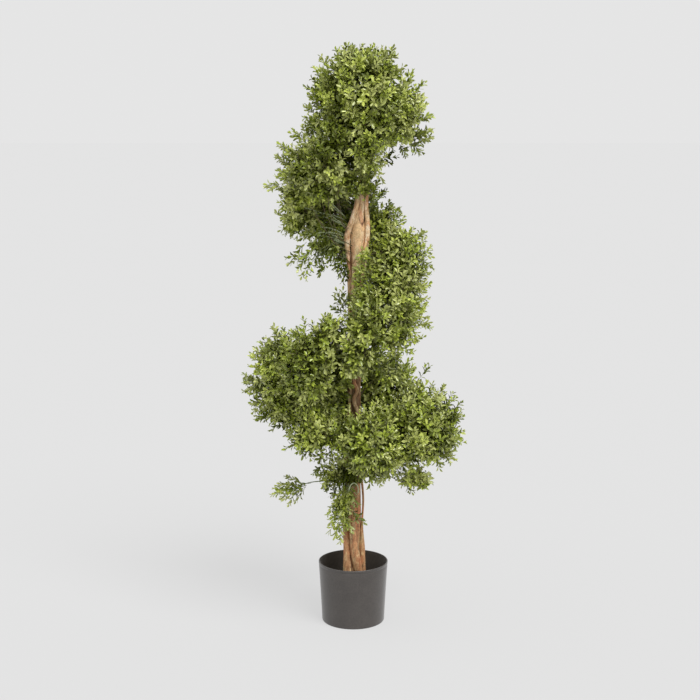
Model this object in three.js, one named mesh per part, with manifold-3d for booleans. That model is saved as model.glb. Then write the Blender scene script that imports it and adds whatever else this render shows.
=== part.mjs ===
// An artificial box tree trained as a spiral topiary, in a plain round pot, 1.5 m tall.
// Millimetres, +Z up, the front towards -Y, origin at the middle of the pot's flat underside.
// The trunk is a natural wood stem with thin lianas wound round it, cast into the pot's cement
// filling. The foliage climbs round it as a right-handed ramp of separate masses.
import * as THREE from "three";
import { mergeVertices } from "three/addons/utils/BufferGeometryUtils.js";
import Module from "manifold-3d";

const wasm = await Module();
wasm.setup();

// ---- driving dimensions ----
const TREE_HEIGHT = 1500;
const GAP = 0.3; // clearance between neighbouring pieces

const POT = {
  height: 162,
  baseRadius: 82.5,
  topRadius: 91.4,
  footChamfer: 3.5,
  wall: 2.6,
  floor: 3.5,
  sides: 30,
};
const FILLING = { top: 98, sides: 16 };

// The trunk's centre line leans a little to the right and sways. The radius is the main stem's own.
const TRUNK = {
  sides: 10,
  ringStep: 94,
  twistDegreesPerMetre: 150,
  lobes: 3,
  lobeDepth: 0.08,
  centre: [
    { x: 3, y: 0, z: 22, radius: 19 },
    { x: 4, y: -2, z: 110, radius: 17.5 },
    { x: 4, y: -3, z: 205, radius: 16.5 },
    { x: 4, y: 2, z: 330, radius: 15 },
    { x: 6, y: 4, z: 600, radius: 10.5 },
    { x: 6, y: 2, z: 700, radius: 10.5 },
    { x: 5, y: -2, z: 850, radius: 11 },
    { x: 9.5, y: -4, z: 960, radius: 15 },
    { x: 12.5, y: -2, z: 1030, radius: 18.5 },
    { x: 18, y: 0, z: 1110, radius: 13.5 },
    { x: 29, y: 2, z: 1200, radius: 9.5 },
    { x: 36, y: 0, z: 1340, radius: 5 },
  ],
};

// Each liana winds up the trunk. A station gives its azimuth about the trunk, counted from +X
// anticlockwise from above (180 left, 270 front), how far it stands off the bark, and its radius.
const LIANAS = [
  {
    name: "liana_left",
    stations: [
      { z: 24, azimuth: 225, lift: -9, radius: 16.5 },
      { z: 130, azimuth: 223, lift: -8, radius: 15.5 },
      { z: 205, azimuth: 205, lift: -3, radius: 10.5 },
      { z: 330, azimuth: 170, lift: 0, radius: 8 },
      { z: 600, azimuth: 200, lift: 0, radius: 5.5 },
      { z: 860, azimuth: 150, lift: 0, radius: 5.5 },
      { z: 950, azimuth: 172, lift: 0, radius: 6.5 },
      { z: 1020, azimuth: 186, lift: 3, radius: 7.5 },
      { z: 1060, azimuth: 215, lift: 0, radius: 7 },
      { z: 1105, azimuth: 245, lift: 0, radius: 6 },
      { z: 1190, azimuth: 235, lift: 0, radius: 5 },
    ],
  },
  {
    name: "liana_right",
    stations: [
      { z: 24, azimuth: 340, lift: -2, radius: 9.5 },
      { z: 190, azimuth: 341, lift: -1, radius: 7.5 },
      { z: 262, azimuth: 346, lift: 2, radius: 4 },
      { z: 330, azimuth: 352, lift: 6.5, radius: 3.5 },
      { z: 400, azimuth: 356, lift: 0, radius: 4 },
      { z: 480, azimuth: 375, lift: 0, radius: 4.5 },
      { z: 600, azimuth: 418, lift: 0, radius: 5 },
      { z: 720, azimuth: 385, lift: 0, radius: 5 },
      { z: 860, azimuth: 330, lift: 0, radius: 6 },
      { z: 960, azimuth: 335, lift: 0, radius: 6.5 },
      { z: 1030, azimuth: 350, lift: 1, radius: 6.5 },
      { z: 1120, azimuth: 325, lift: 0, radius: 5.5 },
      { z: 1205, azimuth: 330, lift: 0, radius: 4.5 },
    ],
  },
  {
    name: "liana_front",
    stations: [
      { z: 24, azimuth: 305, lift: -6, radius: 12 },
      { z: 130, azimuth: 297, lift: -6, radius: 11.5 },
      { z: 205, azimuth: 268, lift: -6, radius: 11 },
      { z: 290, azimuth: 252, lift: -1, radius: 7 },
      { z: 400, azimuth: 262, lift: 0, radius: 5.5 },
      { z: 500, azimuth: 262, lift: 0, radius: 5 },
      { z: 562, azimuth: 300, lift: 0, radius: 5 },
      { z: 608, azimuth: 244, lift: 0, radius: 5 },
      { z: 652, azimuth: 300, lift: 0, radius: 5 },
      { z: 704, azimuth: 250, lift: 0, radius: 5 },
      { z: 860, azimuth: 255, lift: 0, radius: 4.5 },
      { z: 945, azimuth: 248, lift: 0, radius: 4 },
    ],
  },
];
const LIANA_SIDES = 5;
const LIANA_STEP = 70;
const LIANA_PRESS = 0.15; // share of its radius by which a liana is pressed into the trunk

// The ramp of foliage, read at any turn between its stations. turn 0 is the right side, and the
// ramp climbs anticlockwise seen from above. reach is how far it stands out from the trunk,
// height is the middle of its thickness, and half is half of that thickness.
const RAMP = {
  innerRadius: 14,
  overlap: 0.012, // turns by which a mass reaches past each of its ends
  stations: [
    { turn: -0.46, reach: 205, height: 522, half: 42 },
    { turn: -0.38, reach: 224, height: 530, half: 52 },
    { turn: -0.25, reach: 214, height: 504, half: 94 },
    { turn: -0.12, reach: 232, height: 514, half: 112 },
    { turn: -0.02, reach: 288, height: 514, half: 98 },
    { turn: 0.05, reach: 248, height: 538, half: 114 },
    { turn: 0.12, reach: 234, height: 578, half: 134 },
    { turn: 0.25, reach: 228, height: 592, half: 122 },
    { turn: 0.5, reach: 266, height: 642, half: 136 },
    { turn: 0.62, reach: 235, height: 700, half: 120 },
    { turn: 0.75, reach: 192, height: 765, half: 106 },
    { turn: 0.87, reach: 182, height: 832, half: 128 },
    { turn: 1, reach: 188, height: 902, half: 156 },
    { turn: 1.12, reach: 176, height: 960, half: 134 },
    { turn: 1.25, reach: 190, height: 1020, half: 120 },
    { turn: 1.38, reach: 208, height: 1092, half: 118 },
    { turn: 1.5, reach: 226, height: 1152, half: 126 },
    { turn: 1.62, reach: 192, height: 1205, half: 96 },
    { turn: 1.75, reach: 150, height: 1242, half: 70 },
    { turn: 1.88, reach: 74, height: 1240, half: 50 },
  ],
};
// The turns at which one mass of the ramp gives way to the next.
const RAMP_CUTS = [
  -0.45, -0.31, -0.13, 0.08, 0.24, 0.41, 0.59, 0.7, 0.85, 1.08, 1.25, 1.42, 1.58, 1.7, 1.86,
];

// The crown above the ramp: the middle of each mass and its half sizes.
const CROWN = [
  { name: "crown_foliage_right", at: [106, -12, 1326], half: [74, 92, 90] },
  { name: "crown_foliage_left", at: [-42, 12, 1344], half: [78, 92, 112] },
  { name: "crown_foliage_front", at: [34, -76, 1336], half: [80, 68, 96] },
  { name: "crown_foliage_back", at: [44, 84, 1322], half: [84, 66, 96] },
  { name: "crown_foliage_tip", at: [24, 0, TREE_HEIGHT - 97.4], half: [106, 98, 98] },
];

// Small masses that droop from the underside of the ramp: middle and half sizes.
const DROOPS = [
  { name: "low_foliage_right", at: [164, -26, 396], half: [52, 46, 36] },
  { name: "low_foliage_left", at: [-42, -8, 404], half: [40, 38, 36] },
  { name: "upper_foliage_under", at: [-64, 14, 994], half: [62, 42, 30] },
];

// Stems that stand clear of the ramp, each tapering from the trunk through its points. Some carry a
// mass of leaves of their own (at its middle, half its half sizes), and the rest run into the ramp.
const STEMS = [
  {
    name: "stray_spray",
    points: [
      [0, -4, 394],
      [-60, -22, 377],
      [-118, -29, 376],
      [-160, -31, 362],
    ],
    at: [-159, -31, 361],
    half: [49, 27, 30],
  },
  {
    name: "hanging_spray",
    points: [
      [2, -8, 404],
      [-22, -48, 392],
      [-31, -56, 350],
      [-27, -54, 290],
    ],
    at: [-27, -60, 314],
    half: [33, 24, 86],
  },
  {
    name: "upper_spray",
    points: [
      [4, -6, 1006],
      [-46, -26, 1002],
      [-86, -30, 984],
      [-124, -32, 956],
    ],
    at: [-122, -32, 958],
    half: [42, 25, 25],
  },
  {
    name: "upper_bough_low",
    points: [
      [6, -8, 972],
      [-44, -46, 1010],
      [-88, -66, 1062],
      [-112, -72, 1098],
    ],
  },
  {
    name: "upper_bough_middle",
    points: [
      [8, -8, 990],
      [-30, -44, 1024],
      [-62, -72, 1082],
      [-72, -82, 1130],
    ],
  },
  {
    name: "upper_bough_high",
    points: [
      [10, -8, 1018],
      [-18, -38, 1056],
      [-34, -62, 1110],
      [-36, -72, 1160],
    ],
  },
];
const STEM = { radius: 2.8, tipRadius: 1.7, sides: 5, steps: 5 };

const MASS_DETAIL = 2; // how finely the sphere of a mass is divided
const SPRAY_DETAIL = 1; // the same for a spray's own leaves
const MASS_FULLNESS = 2.5; // 2 is a plain ellipsoid, and more fills out its corners
const UNEVEN = 0.1; // share by which a mass's surface rises and falls

const COLOURS = {
  pot: new THREE.MeshStandardMaterial({ color: 0x59544f, roughness: 0.55, metalness: 0 }),
  cement: new THREE.MeshStandardMaterial({ color: 0x3a3733, roughness: 0.95, metalness: 0 }),
  bark: new THREE.MeshStandardMaterial({ color: 0xa47c58, roughness: 0.8, metalness: 0 }),
  liana: new THREE.MeshStandardMaterial({ color: 0x8f6444, roughness: 0.8, metalness: 0 }),
  stem: new THREE.MeshStandardMaterial({ color: 0x5c6a44, roughness: 0.6, metalness: 0 }),
  foliage: new THREE.MeshStandardMaterial({ color: 0x6b7438, roughness: 0.7, metalness: 0 }),
};

// ---- small helpers ----
const radians = THREE.MathUtils.degToRad;

// A smooth curve through the stations' values of one key, read at any value of another.
function smoothly(stations, along, key, at) {
  const last = stations.length - 1;
  const clamped = THREE.MathUtils.clamp(at, stations[0][along], stations[last][along]);
  let i = 0;
  while (i < last - 1 && clamped > stations[i + 1][along]) i += 1;
  const [before, from, to, after] = [i - 1, i, i + 1, i + 2].map(
    (k) => stations[THREE.MathUtils.clamp(k, 0, last)],
  );
  const span = to[along] - from[along];
  const t = (clamped - from[along]) / span;
  const slope = (a, b) => ((b[key] - a[key]) / Math.max(b[along] - a[along], 1e-6)) * span;
  const m0 = slope(before, to);
  const m1 = slope(from, after);
  const t2 = t * t;
  const t3 = t2 * t;
  return (
    (2 * t3 - 3 * t2 + 1) * from[key] +
    (t3 - 2 * t2 + t) * m0 +
    (3 * t2 - 2 * t3) * to[key] +
    (t3 - t2) * m1
  );
}

// A closed solid from a three.js geometry.
function solidOf(geometry) {
  const bare = new THREE.BufferGeometry().setAttribute("position", geometry.getAttribute("position"));
  if (geometry.index) bare.setIndex(geometry.index);
  const merged = mergeVertices(bare, 1e-3);
  const solid = new wasm.Manifold(
    new wasm.Mesh({
      numProp: 3,
      vertProperties: new Float32Array(merged.attributes.position.array),
      triVerts: new Uint32Array(merged.index.array),
    }),
  );
  if (solid.volume() < 0) throw new Error("a shape's faces point inwards");
  return solid;
}

// The largest of the pieces that a cut leaves.
function largestPiece(solid) {
  return solid.decompose().reduce((a, b) => (b.volume() > a.volume() ? b : a));
}

function meshOf(name, solid, material) {
  const { numProp, vertProperties, triVerts } = solid.getMesh();
  const geometry = new THREE.BufferGeometry();
  const buffer = new THREE.InterleavedBuffer(vertProperties, numProp);
  geometry.setAttribute("position", new THREE.InterleavedBufferAttribute(buffer, 3, 0));
  geometry.setIndex(new THREE.BufferAttribute(triVerts, 1));
  const plain = geometry.toNonIndexed();
  plain.computeVertexNormals();
  const mesh = new THREE.Mesh(plain, material);
  mesh.name = name;
  return mesh;
}

// A closed skin over rings of points, each ring anticlockwise seen from the end it runs to.
function skin(rings) {
  const sides = rings[0].length;
  const points = rings.flat();
  const faces = [];
  for (let r = 0; r < rings.length - 1; r += 1) {
    for (let s = 0; s < sides; s += 1) {
      const a = r * sides + s;
      const b = r * sides + ((s + 1) % sides);
      faces.push(a, b, b + sides, a, b + sides, a + sides);
    }
  }
  const top = (rings.length - 1) * sides;
  for (let s = 1; s < sides - 1; s += 1) {
    faces.push(0, s + 1, s);
    faces.push(top, top + s, top + s + 1);
  }
  const geometry = new THREE.BufferGeometry().setFromPoints(points);
  geometry.setIndex(faces);
  return solidOf(geometry);
}

// A tapering round limb along a curve.
function limb(curve, steps, sides, radiusAt) {
  const frames = curve.computeFrenetFrames(steps, false);
  const rings = [];
  for (let i = 0; i <= steps; i += 1) {
    const centre = curve.getPointAt(i / steps);
    const radius = radiusAt(i / steps);
    const ring = [];
    for (let s = 0; s < sides; s += 1) {
      const angle = (2 * Math.PI * s) / sides;
      ring.push(
        centre
          .clone()
          .addScaledVector(frames.normals[i], radius * Math.cos(angle))
          .addScaledVector(frames.binormals[i], radius * Math.sin(angle)),
      );
    }
    rings.push(ring);
  }
  return skin(rings);
}

// ---- the pot and its filling ----
function potSolid() {
  const { height, baseRadius, topRadius, footChamfer, wall, floor } = POT;
  const profile = [
    [0, 0],
    [baseRadius - footChamfer, 0],
    [baseRadius, footChamfer],
    [topRadius, height],
    [topRadius - wall, height],
    [baseRadius - wall, floor],
    [0, floor],
  ];
  return solidOf(turned(profile, POT.sides));
}

// A profile of [radius, height] pairs turned round the Z axis.
function turned(profile, sides) {
  const points = profile.map(([r, z]) => new THREE.Vector2(r, z));
  const geometry = new THREE.LatheGeometry(points, sides);
  geometry.rotateX(Math.PI / 2);
  return geometry;
}

function potInnerRadiusAt(z) {
  const share = (z - POT.floor) / (POT.height - POT.floor);
  return THREE.MathUtils.lerp(POT.baseRadius, POT.topRadius, share) - POT.wall;
}

function fillingSolid() {
  const bottom = POT.floor + GAP;
  const clear = GAP + 0.2; // the pot's facets stand in from its true circle
  const profile = [
    [0, bottom],
    [potInnerRadiusAt(bottom) - clear, bottom],
    [potInnerRadiusAt(FILLING.top) - clear, FILLING.top],
    [0, FILLING.top],
  ];
  return solidOf(turned(profile, FILLING.sides));
}

// ---- the trunk and its lianas ----
const TRUNK_FOOT = TRUNK.centre[0].z;
const TRUNK_TIP = TRUNK.centre.at(-1).z;

function trunkCentreAt(z) {
  return new THREE.Vector3(
    smoothly(TRUNK.centre, "z", "x", z),
    smoothly(TRUNK.centre, "z", "y", z),
    z,
  );
}

function trunkRadiusAt(z, azimuth) {
  const twist = radians((TRUNK.twistDegreesPerMetre * z) / 1000);
  const lobe = Math.cos(TRUNK.lobes * (azimuth - twist));
  return smoothly(TRUNK.centre, "z", "radius", z) * (1 + TRUNK.lobeDepth * lobe);
}

// Every shape below takes grow, how much larger it is made all round to cut others clear of it.
function trunkSolid(grow) {
  const steps = Math.round((TRUNK_TIP - TRUNK_FOOT) / TRUNK.ringStep);
  const rings = [];
  for (let i = 0; i <= steps; i += 1) {
    const z = THREE.MathUtils.lerp(TRUNK_FOOT, TRUNK_TIP, i / steps);
    const centre = trunkCentreAt(z);
    if (i === 0) centre.z -= grow;
    if (i === steps) centre.z += grow;
    const ring = [];
    for (let s = 0; s < TRUNK.sides; s += 1) {
      const azimuth = (2 * Math.PI * s) / TRUNK.sides;
      const radius = trunkRadiusAt(z, azimuth) + grow;
      ring.push(
        new THREE.Vector3(
          centre.x + radius * Math.cos(azimuth),
          centre.y + radius * Math.sin(azimuth),
          centre.z,
        ),
      );
    }
    rings.push(ring);
  }
  return skin(rings);
}

// A liana lies against the trunk along its stations.
function lianaSolid(liana, grow) {
  const first = liana.stations[0].z;
  const last = liana.stations.at(-1).z;
  const count = Math.round((last - first) / LIANA_STEP);
  const points = [];
  for (let i = 0; i <= count; i += 1) {
    const z = THREE.MathUtils.lerp(first, last, i / count);
    const azimuth = radians(smoothly(liana.stations, "z", "azimuth", z));
    const lift = smoothly(liana.stations, "z", "lift", z);
    const thickness = smoothly(liana.stations, "z", "radius", z);
    const out = trunkRadiusAt(z, azimuth) + lift + thickness * (1 - LIANA_PRESS);
    const centre = trunkCentreAt(z);
    points.push(
      new THREE.Vector3(centre.x + out * Math.cos(azimuth), centre.y + out * Math.sin(azimuth), z),
    );
  }
  const curve = new THREE.CatmullRomCurve3(points, false, "centripetal");
  return limb(
    curve,
    count,
    LIANA_SIDES,
    (t) => smoothly(liana.stations, "z", "radius", THREE.MathUtils.lerp(first, last, t)) + grow,
  );
}

// ---- the foliage ----
// A closed, gently uneven lump: a unit ball is filled out a little towards a box's corners, and
// place turns each of its points into a point of the mass.
function lump(seed, detail, place) {
  const geometry = new THREE.IcosahedronGeometry(1, detail);
  const position = geometry.getAttribute("position");
  const direction = new THREE.Vector3();
  for (let i = 0; i < position.count; i += 1) {
    direction.fromBufferAttribute(position, i).normalize();
    const swell = 1 + UNEVEN * unevenness(direction, seed);
    const fullness = direction.toArray().reduce((sum, d) => sum + Math.abs(d) ** MASS_FULLNESS, 0);
    direction.multiplyScalar(swell / fullness ** (1 / MASS_FULLNESS));
    const point = place(direction);
    position.setXYZ(i, point.x, point.y, point.z);
  }
  return solidOf(geometry);
}

// Slow waves over the sphere of directions, from -1 to 1, different for each seed.
function unevenness({ x, y, z }, seed) {
  const waves = [
    Math.sin(3.4 * x + 2.1 * z + 1.7 * seed),
    Math.sin(3.9 * y - 1.6 * x + 2.3 * seed + 1),
    Math.sin(4.6 * z + 2.4 * y + 2.9 * seed + 2),
  ];
  return waves.reduce((sum, wave) => sum + wave, 0) / waves.length;
}

// One mass of the ramp. It bends round the trunk with the ramp and follows its reach and height.
function rampMass(index, grow) {
  const [from, to] = [RAMP_CUTS[index], RAMP_CUTS[index + 1]];
  const read = (key, turn) => smoothly(RAMP.stations, "turn", key, turn);
  const growTurn = grow / (Math.PI * read("reach", (from + to) / 2));
  const halfTurn = (to - from) / 2 + RAMP.overlap + growTurn;
  return lump(index + 1, MASS_DETAIL, (direction) => {
    const turn = (from + to) / 2 + direction.y * halfTurn;
    const halfReach = (read("reach", turn) - RAMP.innerRadius) / 2;
    const out = RAMP.innerRadius + halfReach + direction.x * (halfReach + grow);
    const z = read("height", turn) + direction.z * (read("half", turn) + grow);
    const azimuth = 2 * Math.PI * turn;
    const centre = trunkCentreAt(z);
    return new THREE.Vector3(
      centre.x + out * Math.cos(azimuth),
      centre.y + out * Math.sin(azimuth),
      z,
    );
  });
}

// A mass that stands by itself, given by its middle and half sizes.
function freeMass({ at, half }, seed, detail, grow) {
  return lump(seed, detail, (direction) => {
    const [x, y, z] = half.map((size, k) => at[k] + direction.getComponent(k) * (size + grow));
    return new THREE.Vector3(x, y, z);
  });
}

function stemSolid(stem, grow) {
  const curve = new THREE.CatmullRomCurve3(stem.points.map((p) => new THREE.Vector3(...p)));
  return limb(
    curve,
    STEM.steps,
    STEM.sides,
    (t) => THREE.MathUtils.lerp(STEM.radius, STEM.tipRadius, t) + grow,
  );
}

// ---- assembly ----
const tree = new THREE.Group();
const trunkClear = trunkSolid(GAP);

function addPot() {
  tree.add(meshOf("pot", potSolid(), COLOURS.pot));
  const socket = LIANAS.map((liana) => lianaSolid(liana, GAP)).reduce(
    (hole, liana) => hole.add(liana),
    trunkClear,
  );
  tree.add(meshOf("cement_filling", largestPiece(fillingSolid().subtract(socket)), COLOURS.cement));
  return socket;
}

function addWood() {
  tree.add(meshOf("trunk", trunkSolid(0), COLOURS.bark));
  let taken = trunkClear;
  for (const liana of LIANAS) {
    tree.add(meshOf(liana.name, largestPiece(lianaSolid(liana, 0).subtract(taken)), COLOURS.liana));
    taken = taken.add(lianaSolid(liana, GAP));
  }
}

// Every stem is cut off at the trunk, and its own leaves are cut round it.
function addStems(wood) {
  let taken = wood;
  for (const stem of STEMS) {
    tree.add(meshOf(`${stem.name}_stem`, largestPiece(stemSolid(stem, 0).subtract(taken)), COLOURS.stem));
    taken = taken.add(stemSolid(stem, GAP));
  }
  const sprays = STEMS.filter((stem) => stem.half);
  sprays.forEach((spray, i) => {
    const leaves = largestPiece(freeMass(spray, i, SPRAY_DETAIL, 0).subtract(taken));
    tree.add(meshOf(`${spray.name}_foliage`, leaves, COLOURS.foliage));
    taken = taken.add(freeMass(spray, i, SPRAY_DETAIL, GAP));
  });
  return taken;
}

// Each mass is cut where the trunk, the stems or the masses below it already are.
function addFoliage(clear) {
  let taken = clear;
  const place = (name, shape) => {
    tree.add(meshOf(name, largestPiece(shape(0).subtract(taken)), COLOURS.foliage));
    taken = taken.add(shape(GAP));
  };
  for (let i = 0; i < RAMP_CUTS.length - 1; i += 1) {
    place(`spiral_foliage_${String(i + 1).padStart(2, "0")}`, (grow) => rampMass(i, grow));
  }
  DROOPS.forEach((mass, i) => place(mass.name, (grow) => freeMass(mass, i + 7, SPRAY_DETAIL, grow)));
  CROWN.forEach((mass, i) => place(mass.name, (grow) => freeMass(mass, i + 0.4, MASS_DETAIL, grow)));
}

const wood = addPot();
addWood();
addFoliage(addStems(wood));

export default tree;
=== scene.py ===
import math

import bpy
import numpy as np
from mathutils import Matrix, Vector, noise
from mathutils.bvhtree import BVHTree


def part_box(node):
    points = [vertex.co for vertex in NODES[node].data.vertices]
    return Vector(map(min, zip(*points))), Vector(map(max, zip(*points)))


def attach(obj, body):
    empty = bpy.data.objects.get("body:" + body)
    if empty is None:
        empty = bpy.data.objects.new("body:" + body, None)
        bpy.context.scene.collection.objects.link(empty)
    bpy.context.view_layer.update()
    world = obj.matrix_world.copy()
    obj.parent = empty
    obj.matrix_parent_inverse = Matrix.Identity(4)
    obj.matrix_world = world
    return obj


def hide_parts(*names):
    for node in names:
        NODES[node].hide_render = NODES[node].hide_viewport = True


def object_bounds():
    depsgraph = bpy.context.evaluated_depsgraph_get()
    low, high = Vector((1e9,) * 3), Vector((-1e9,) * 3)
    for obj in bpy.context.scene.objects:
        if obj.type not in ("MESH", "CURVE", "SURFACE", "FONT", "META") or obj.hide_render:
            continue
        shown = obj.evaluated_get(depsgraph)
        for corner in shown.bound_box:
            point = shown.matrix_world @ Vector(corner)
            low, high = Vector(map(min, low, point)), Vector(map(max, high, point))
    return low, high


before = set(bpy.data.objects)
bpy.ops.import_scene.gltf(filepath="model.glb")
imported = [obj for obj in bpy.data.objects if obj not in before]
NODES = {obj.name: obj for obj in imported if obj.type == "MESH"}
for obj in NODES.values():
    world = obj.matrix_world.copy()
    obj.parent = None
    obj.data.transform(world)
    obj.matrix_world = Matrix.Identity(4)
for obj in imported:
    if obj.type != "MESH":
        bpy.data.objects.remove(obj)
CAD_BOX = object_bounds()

bl_info = {
    "name": "Artificial spiral topiary",
    "version": (1, 0, 0),
    "blender": (4, 5, 0),
    "location": "3D View > Sidebar > Topiary",
    "description": "An artificial box tree, a spiral round a real wood stem, in a plain pot",
    "category": "Add Mesh",
}

MM = 0.001

# ---- the wood's own measures, in millimetres ----
# The main stem's centre line and radius: x, y, height, radius.
TRUNK = [
    (3, 0, 22, 19),
    (4, -2, 110, 17.5),
    (4, -3, 205, 16.5),
    (4, 2, 330, 16.6),
    (6, 4, 600, 10.5),
    (6, 2, 700, 10.5),
    (5, -2, 850, 11),
    (9.5, -4, 960, 15),
    (12.5, -2, 1030, 18.5),
    (18, 0, 1110, 13.5),
    (29, 2, 1200, 9.5),
    (36, 0, 1340, 5),
]
TRUNK_TWIST = 150  # degrees in each metre of height
# Each liana's way up the stem: height, degrees round it from the right (270 is the front), how
# far it stands off the bark, and its radius.
LIANAS = {
    "liana_left": [
        (24, 225, -9, 16.5), (130, 223, -8, 15.5), (205, 205, -3, 10.5), (330, 170, 0, 8),
        (600, 200, 0, 5.5), (860, 150, 0, 5.5), (950, 172, 0, 6.5), (1020, 186, 3, 7.5),
        (1060, 215, 0, 7), (1105, 245, 0, 6), (1190, 235, 0, 5),
    ],
    "liana_right": [
        (24, 340, -2, 9.5), (190, 341, -1, 7.5), (262, 346, 1.5, 3.2), (330, 352, 4.7, 2.8),
        (400, 356, 0, 3.2), (480, 375, 0, 4.5), (600, 418, 0, 5), (720, 385, 0, 5),
        (860, 330, 0, 6), (960, 335, 0, 6.5), (1030, 350, 1, 6.5), (1120, 325, 0, 5.5),
        (1205, 330, 0, 4.5),
    ],
    "liana_front": [
        (24, 305, -6, 12), (130, 297, -6, 11.5), (205, 268, -6, 11), (290, 252, -1, 7),
        (400, 262, 0, 5.5), (500, 262, 0, 5), (556, 300, 0, 5), (598, 249, 0, 5),
        (622, 287, 0, 5), (645, 249, 0, 5), (704, 285, 0, 5), (860, 255, 0, 4.5),
        (945, 248, 0, 4),
    ],
}
LIANA_PRESS = 0.15  # how far a liana is pressed into the bark, as a share of its radius

# The moulded stems that stand clear of the spiral, as points from the trunk out.
STEMS = {
    "stray_spray": [(0, -4, 394), (-60, -22, 386), (-116, -29, 381), (-160, -31, 362)],
    "hanging_spray": [(2, -8, 404), (-22, -48, 392), (-31, -56, 350), (-27, -54, 290)],
    "upper_spray": [(4, -6, 1006), (-46, -26, 1002), (-86, -30, 984), (-124, -32, 956)],
    "upper_bough_low": [(6, -8, 972), (-44, -46, 1010), (-88, -66, 1062), (-112, -72, 1098)],
    "upper_bough_middle": [(8, -8, 990), (-30, -44, 1024), (-62, -72, 1082), (-72, -82, 1130)],
    "upper_bough_high": [(10, -8, 1018), (-18, -38, 1056), (-34, -62, 1110), (-36, -72, 1160)],
}
STEM_RADII = (1.7, 0.9)  # where a stem starts and ends, in millimetres
MASSES = sorted(n for n in NODES if "_foliage_" in n)

# Where the foliage differs, in millimetres: the middle and radius of a place, how many times
# further apart its sprigs stand and the change of their shade. The shade changes are painted light
# and shade: paler leaves where a mass lies in shade, darker ones where it catches the light and in
# hollows. The last place that holds a point counts.
PATCHES = [
    ((-66, -58, 1042), 62, 1.9, 0.9),
    ((-122, -50, 1064), 56, 1.1, 1.8),
    ((-176, -30, 1088), 50, 1.0, 1.2),
    ((-10, -62, 404), 38, 2.0, -2.6),
    ((116, -62, 1276), 62, 1.0, 3.4),
    ((55, -95, 1281), 40, 1.0, 1.0),
    ((55, -90, 1375), 40, 1.0, 0.9),
    ((-4, -80, 1430), 40, 1.0, 0.9),
    ((53, -70, 1225), 38, 1.0, 1.2),
    ((-6, -112, 1205), 40, 1.0, 1.0),
    ((40, -30, 1480), 60, 1.0, -0.4),
    ((-62, -122, 1254), 52, 1.0, -2.2),
    ((-62, -100, 1196), 46, 1.0, 2.6),
    ((-200, -50, 775), 66, 1.0, -1.3),
    ((-122, -150, 724), 58, 1.0, -1.0),
    ((58, -60, 586), 28, 1.8, -2.0),
    ((-64, -100, 594), 62, 1.0, 2.6),
    ((-183, -60, 586), 58, 1.0, 1.2),
    ((120, -60, 815), 110, 1.0, 1.0),
    ((70, -60, 700), 60, 1.0, 1.2),
    ((-124, -125, 474), 58, 1.0, -1.6),
    ((-4, -176, 549), 58, 1.0, -1.0),
    ((150, -110, 440), 58, 1.15, 1.0),
    ((165, -30, 392), 62, 1.3, 2.8),
    ((-66, -30, 392), 50, 1.0, 2.6),
]
# How much further in the sprigs of some masses start, in millimetres.
INSET = {
    "crown_foliage_left": 12, "crown_foliage_tip": 7, "crown_foliage_right": 5,
    "low_foliage_right": 6, "spiral_foliage_01": 2, "spiral_foliage_02": 4,
    "spiral_foliage_03": 6, "spiral_foliage_05": 3, "spiral_foliage_06": -2,
    "spiral_foliage_10": -1, "spiral_foliage_12": 6,
}
# Gaps that light shows through, in millimetres: two points on each one's line, and its radius.
GAPS = [
    ((-133, -120, 680), (-133, 120, 640), 9),
    ((-34, -120, 632), (-34, 120, 592), 8),
    ((-69, -120, 482), (-69, 120, 442), 8),
    ((-21, -120, 614), (-21, 120, 575), 8),
    ((30, -120, 614), (30, 120, 575), 8),
    ((23, -120, 574), (23, 120, 535), 8),
    ((-6, -210, 436), (-6, -44, 405), 18),
    ((5, -225, 682), (7, -20, 640), 15),
    ((5, -225, 654), (7, -20, 612), 16),
    ((6, -225, 628), (8, -20, 586), 16),
    ((134, -120, 771), (142, 60, 744), 13),
    ((71, -120, 1206), (75, 60, 1203), 11),
    ((67, -120, 1129), (71, 60, 1122), 10),
    ((162, -120, 1292), (171, 60, 1294), 9),
    ((-181, -120, 1206), (-190, 60, 1203), 12),
]

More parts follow.
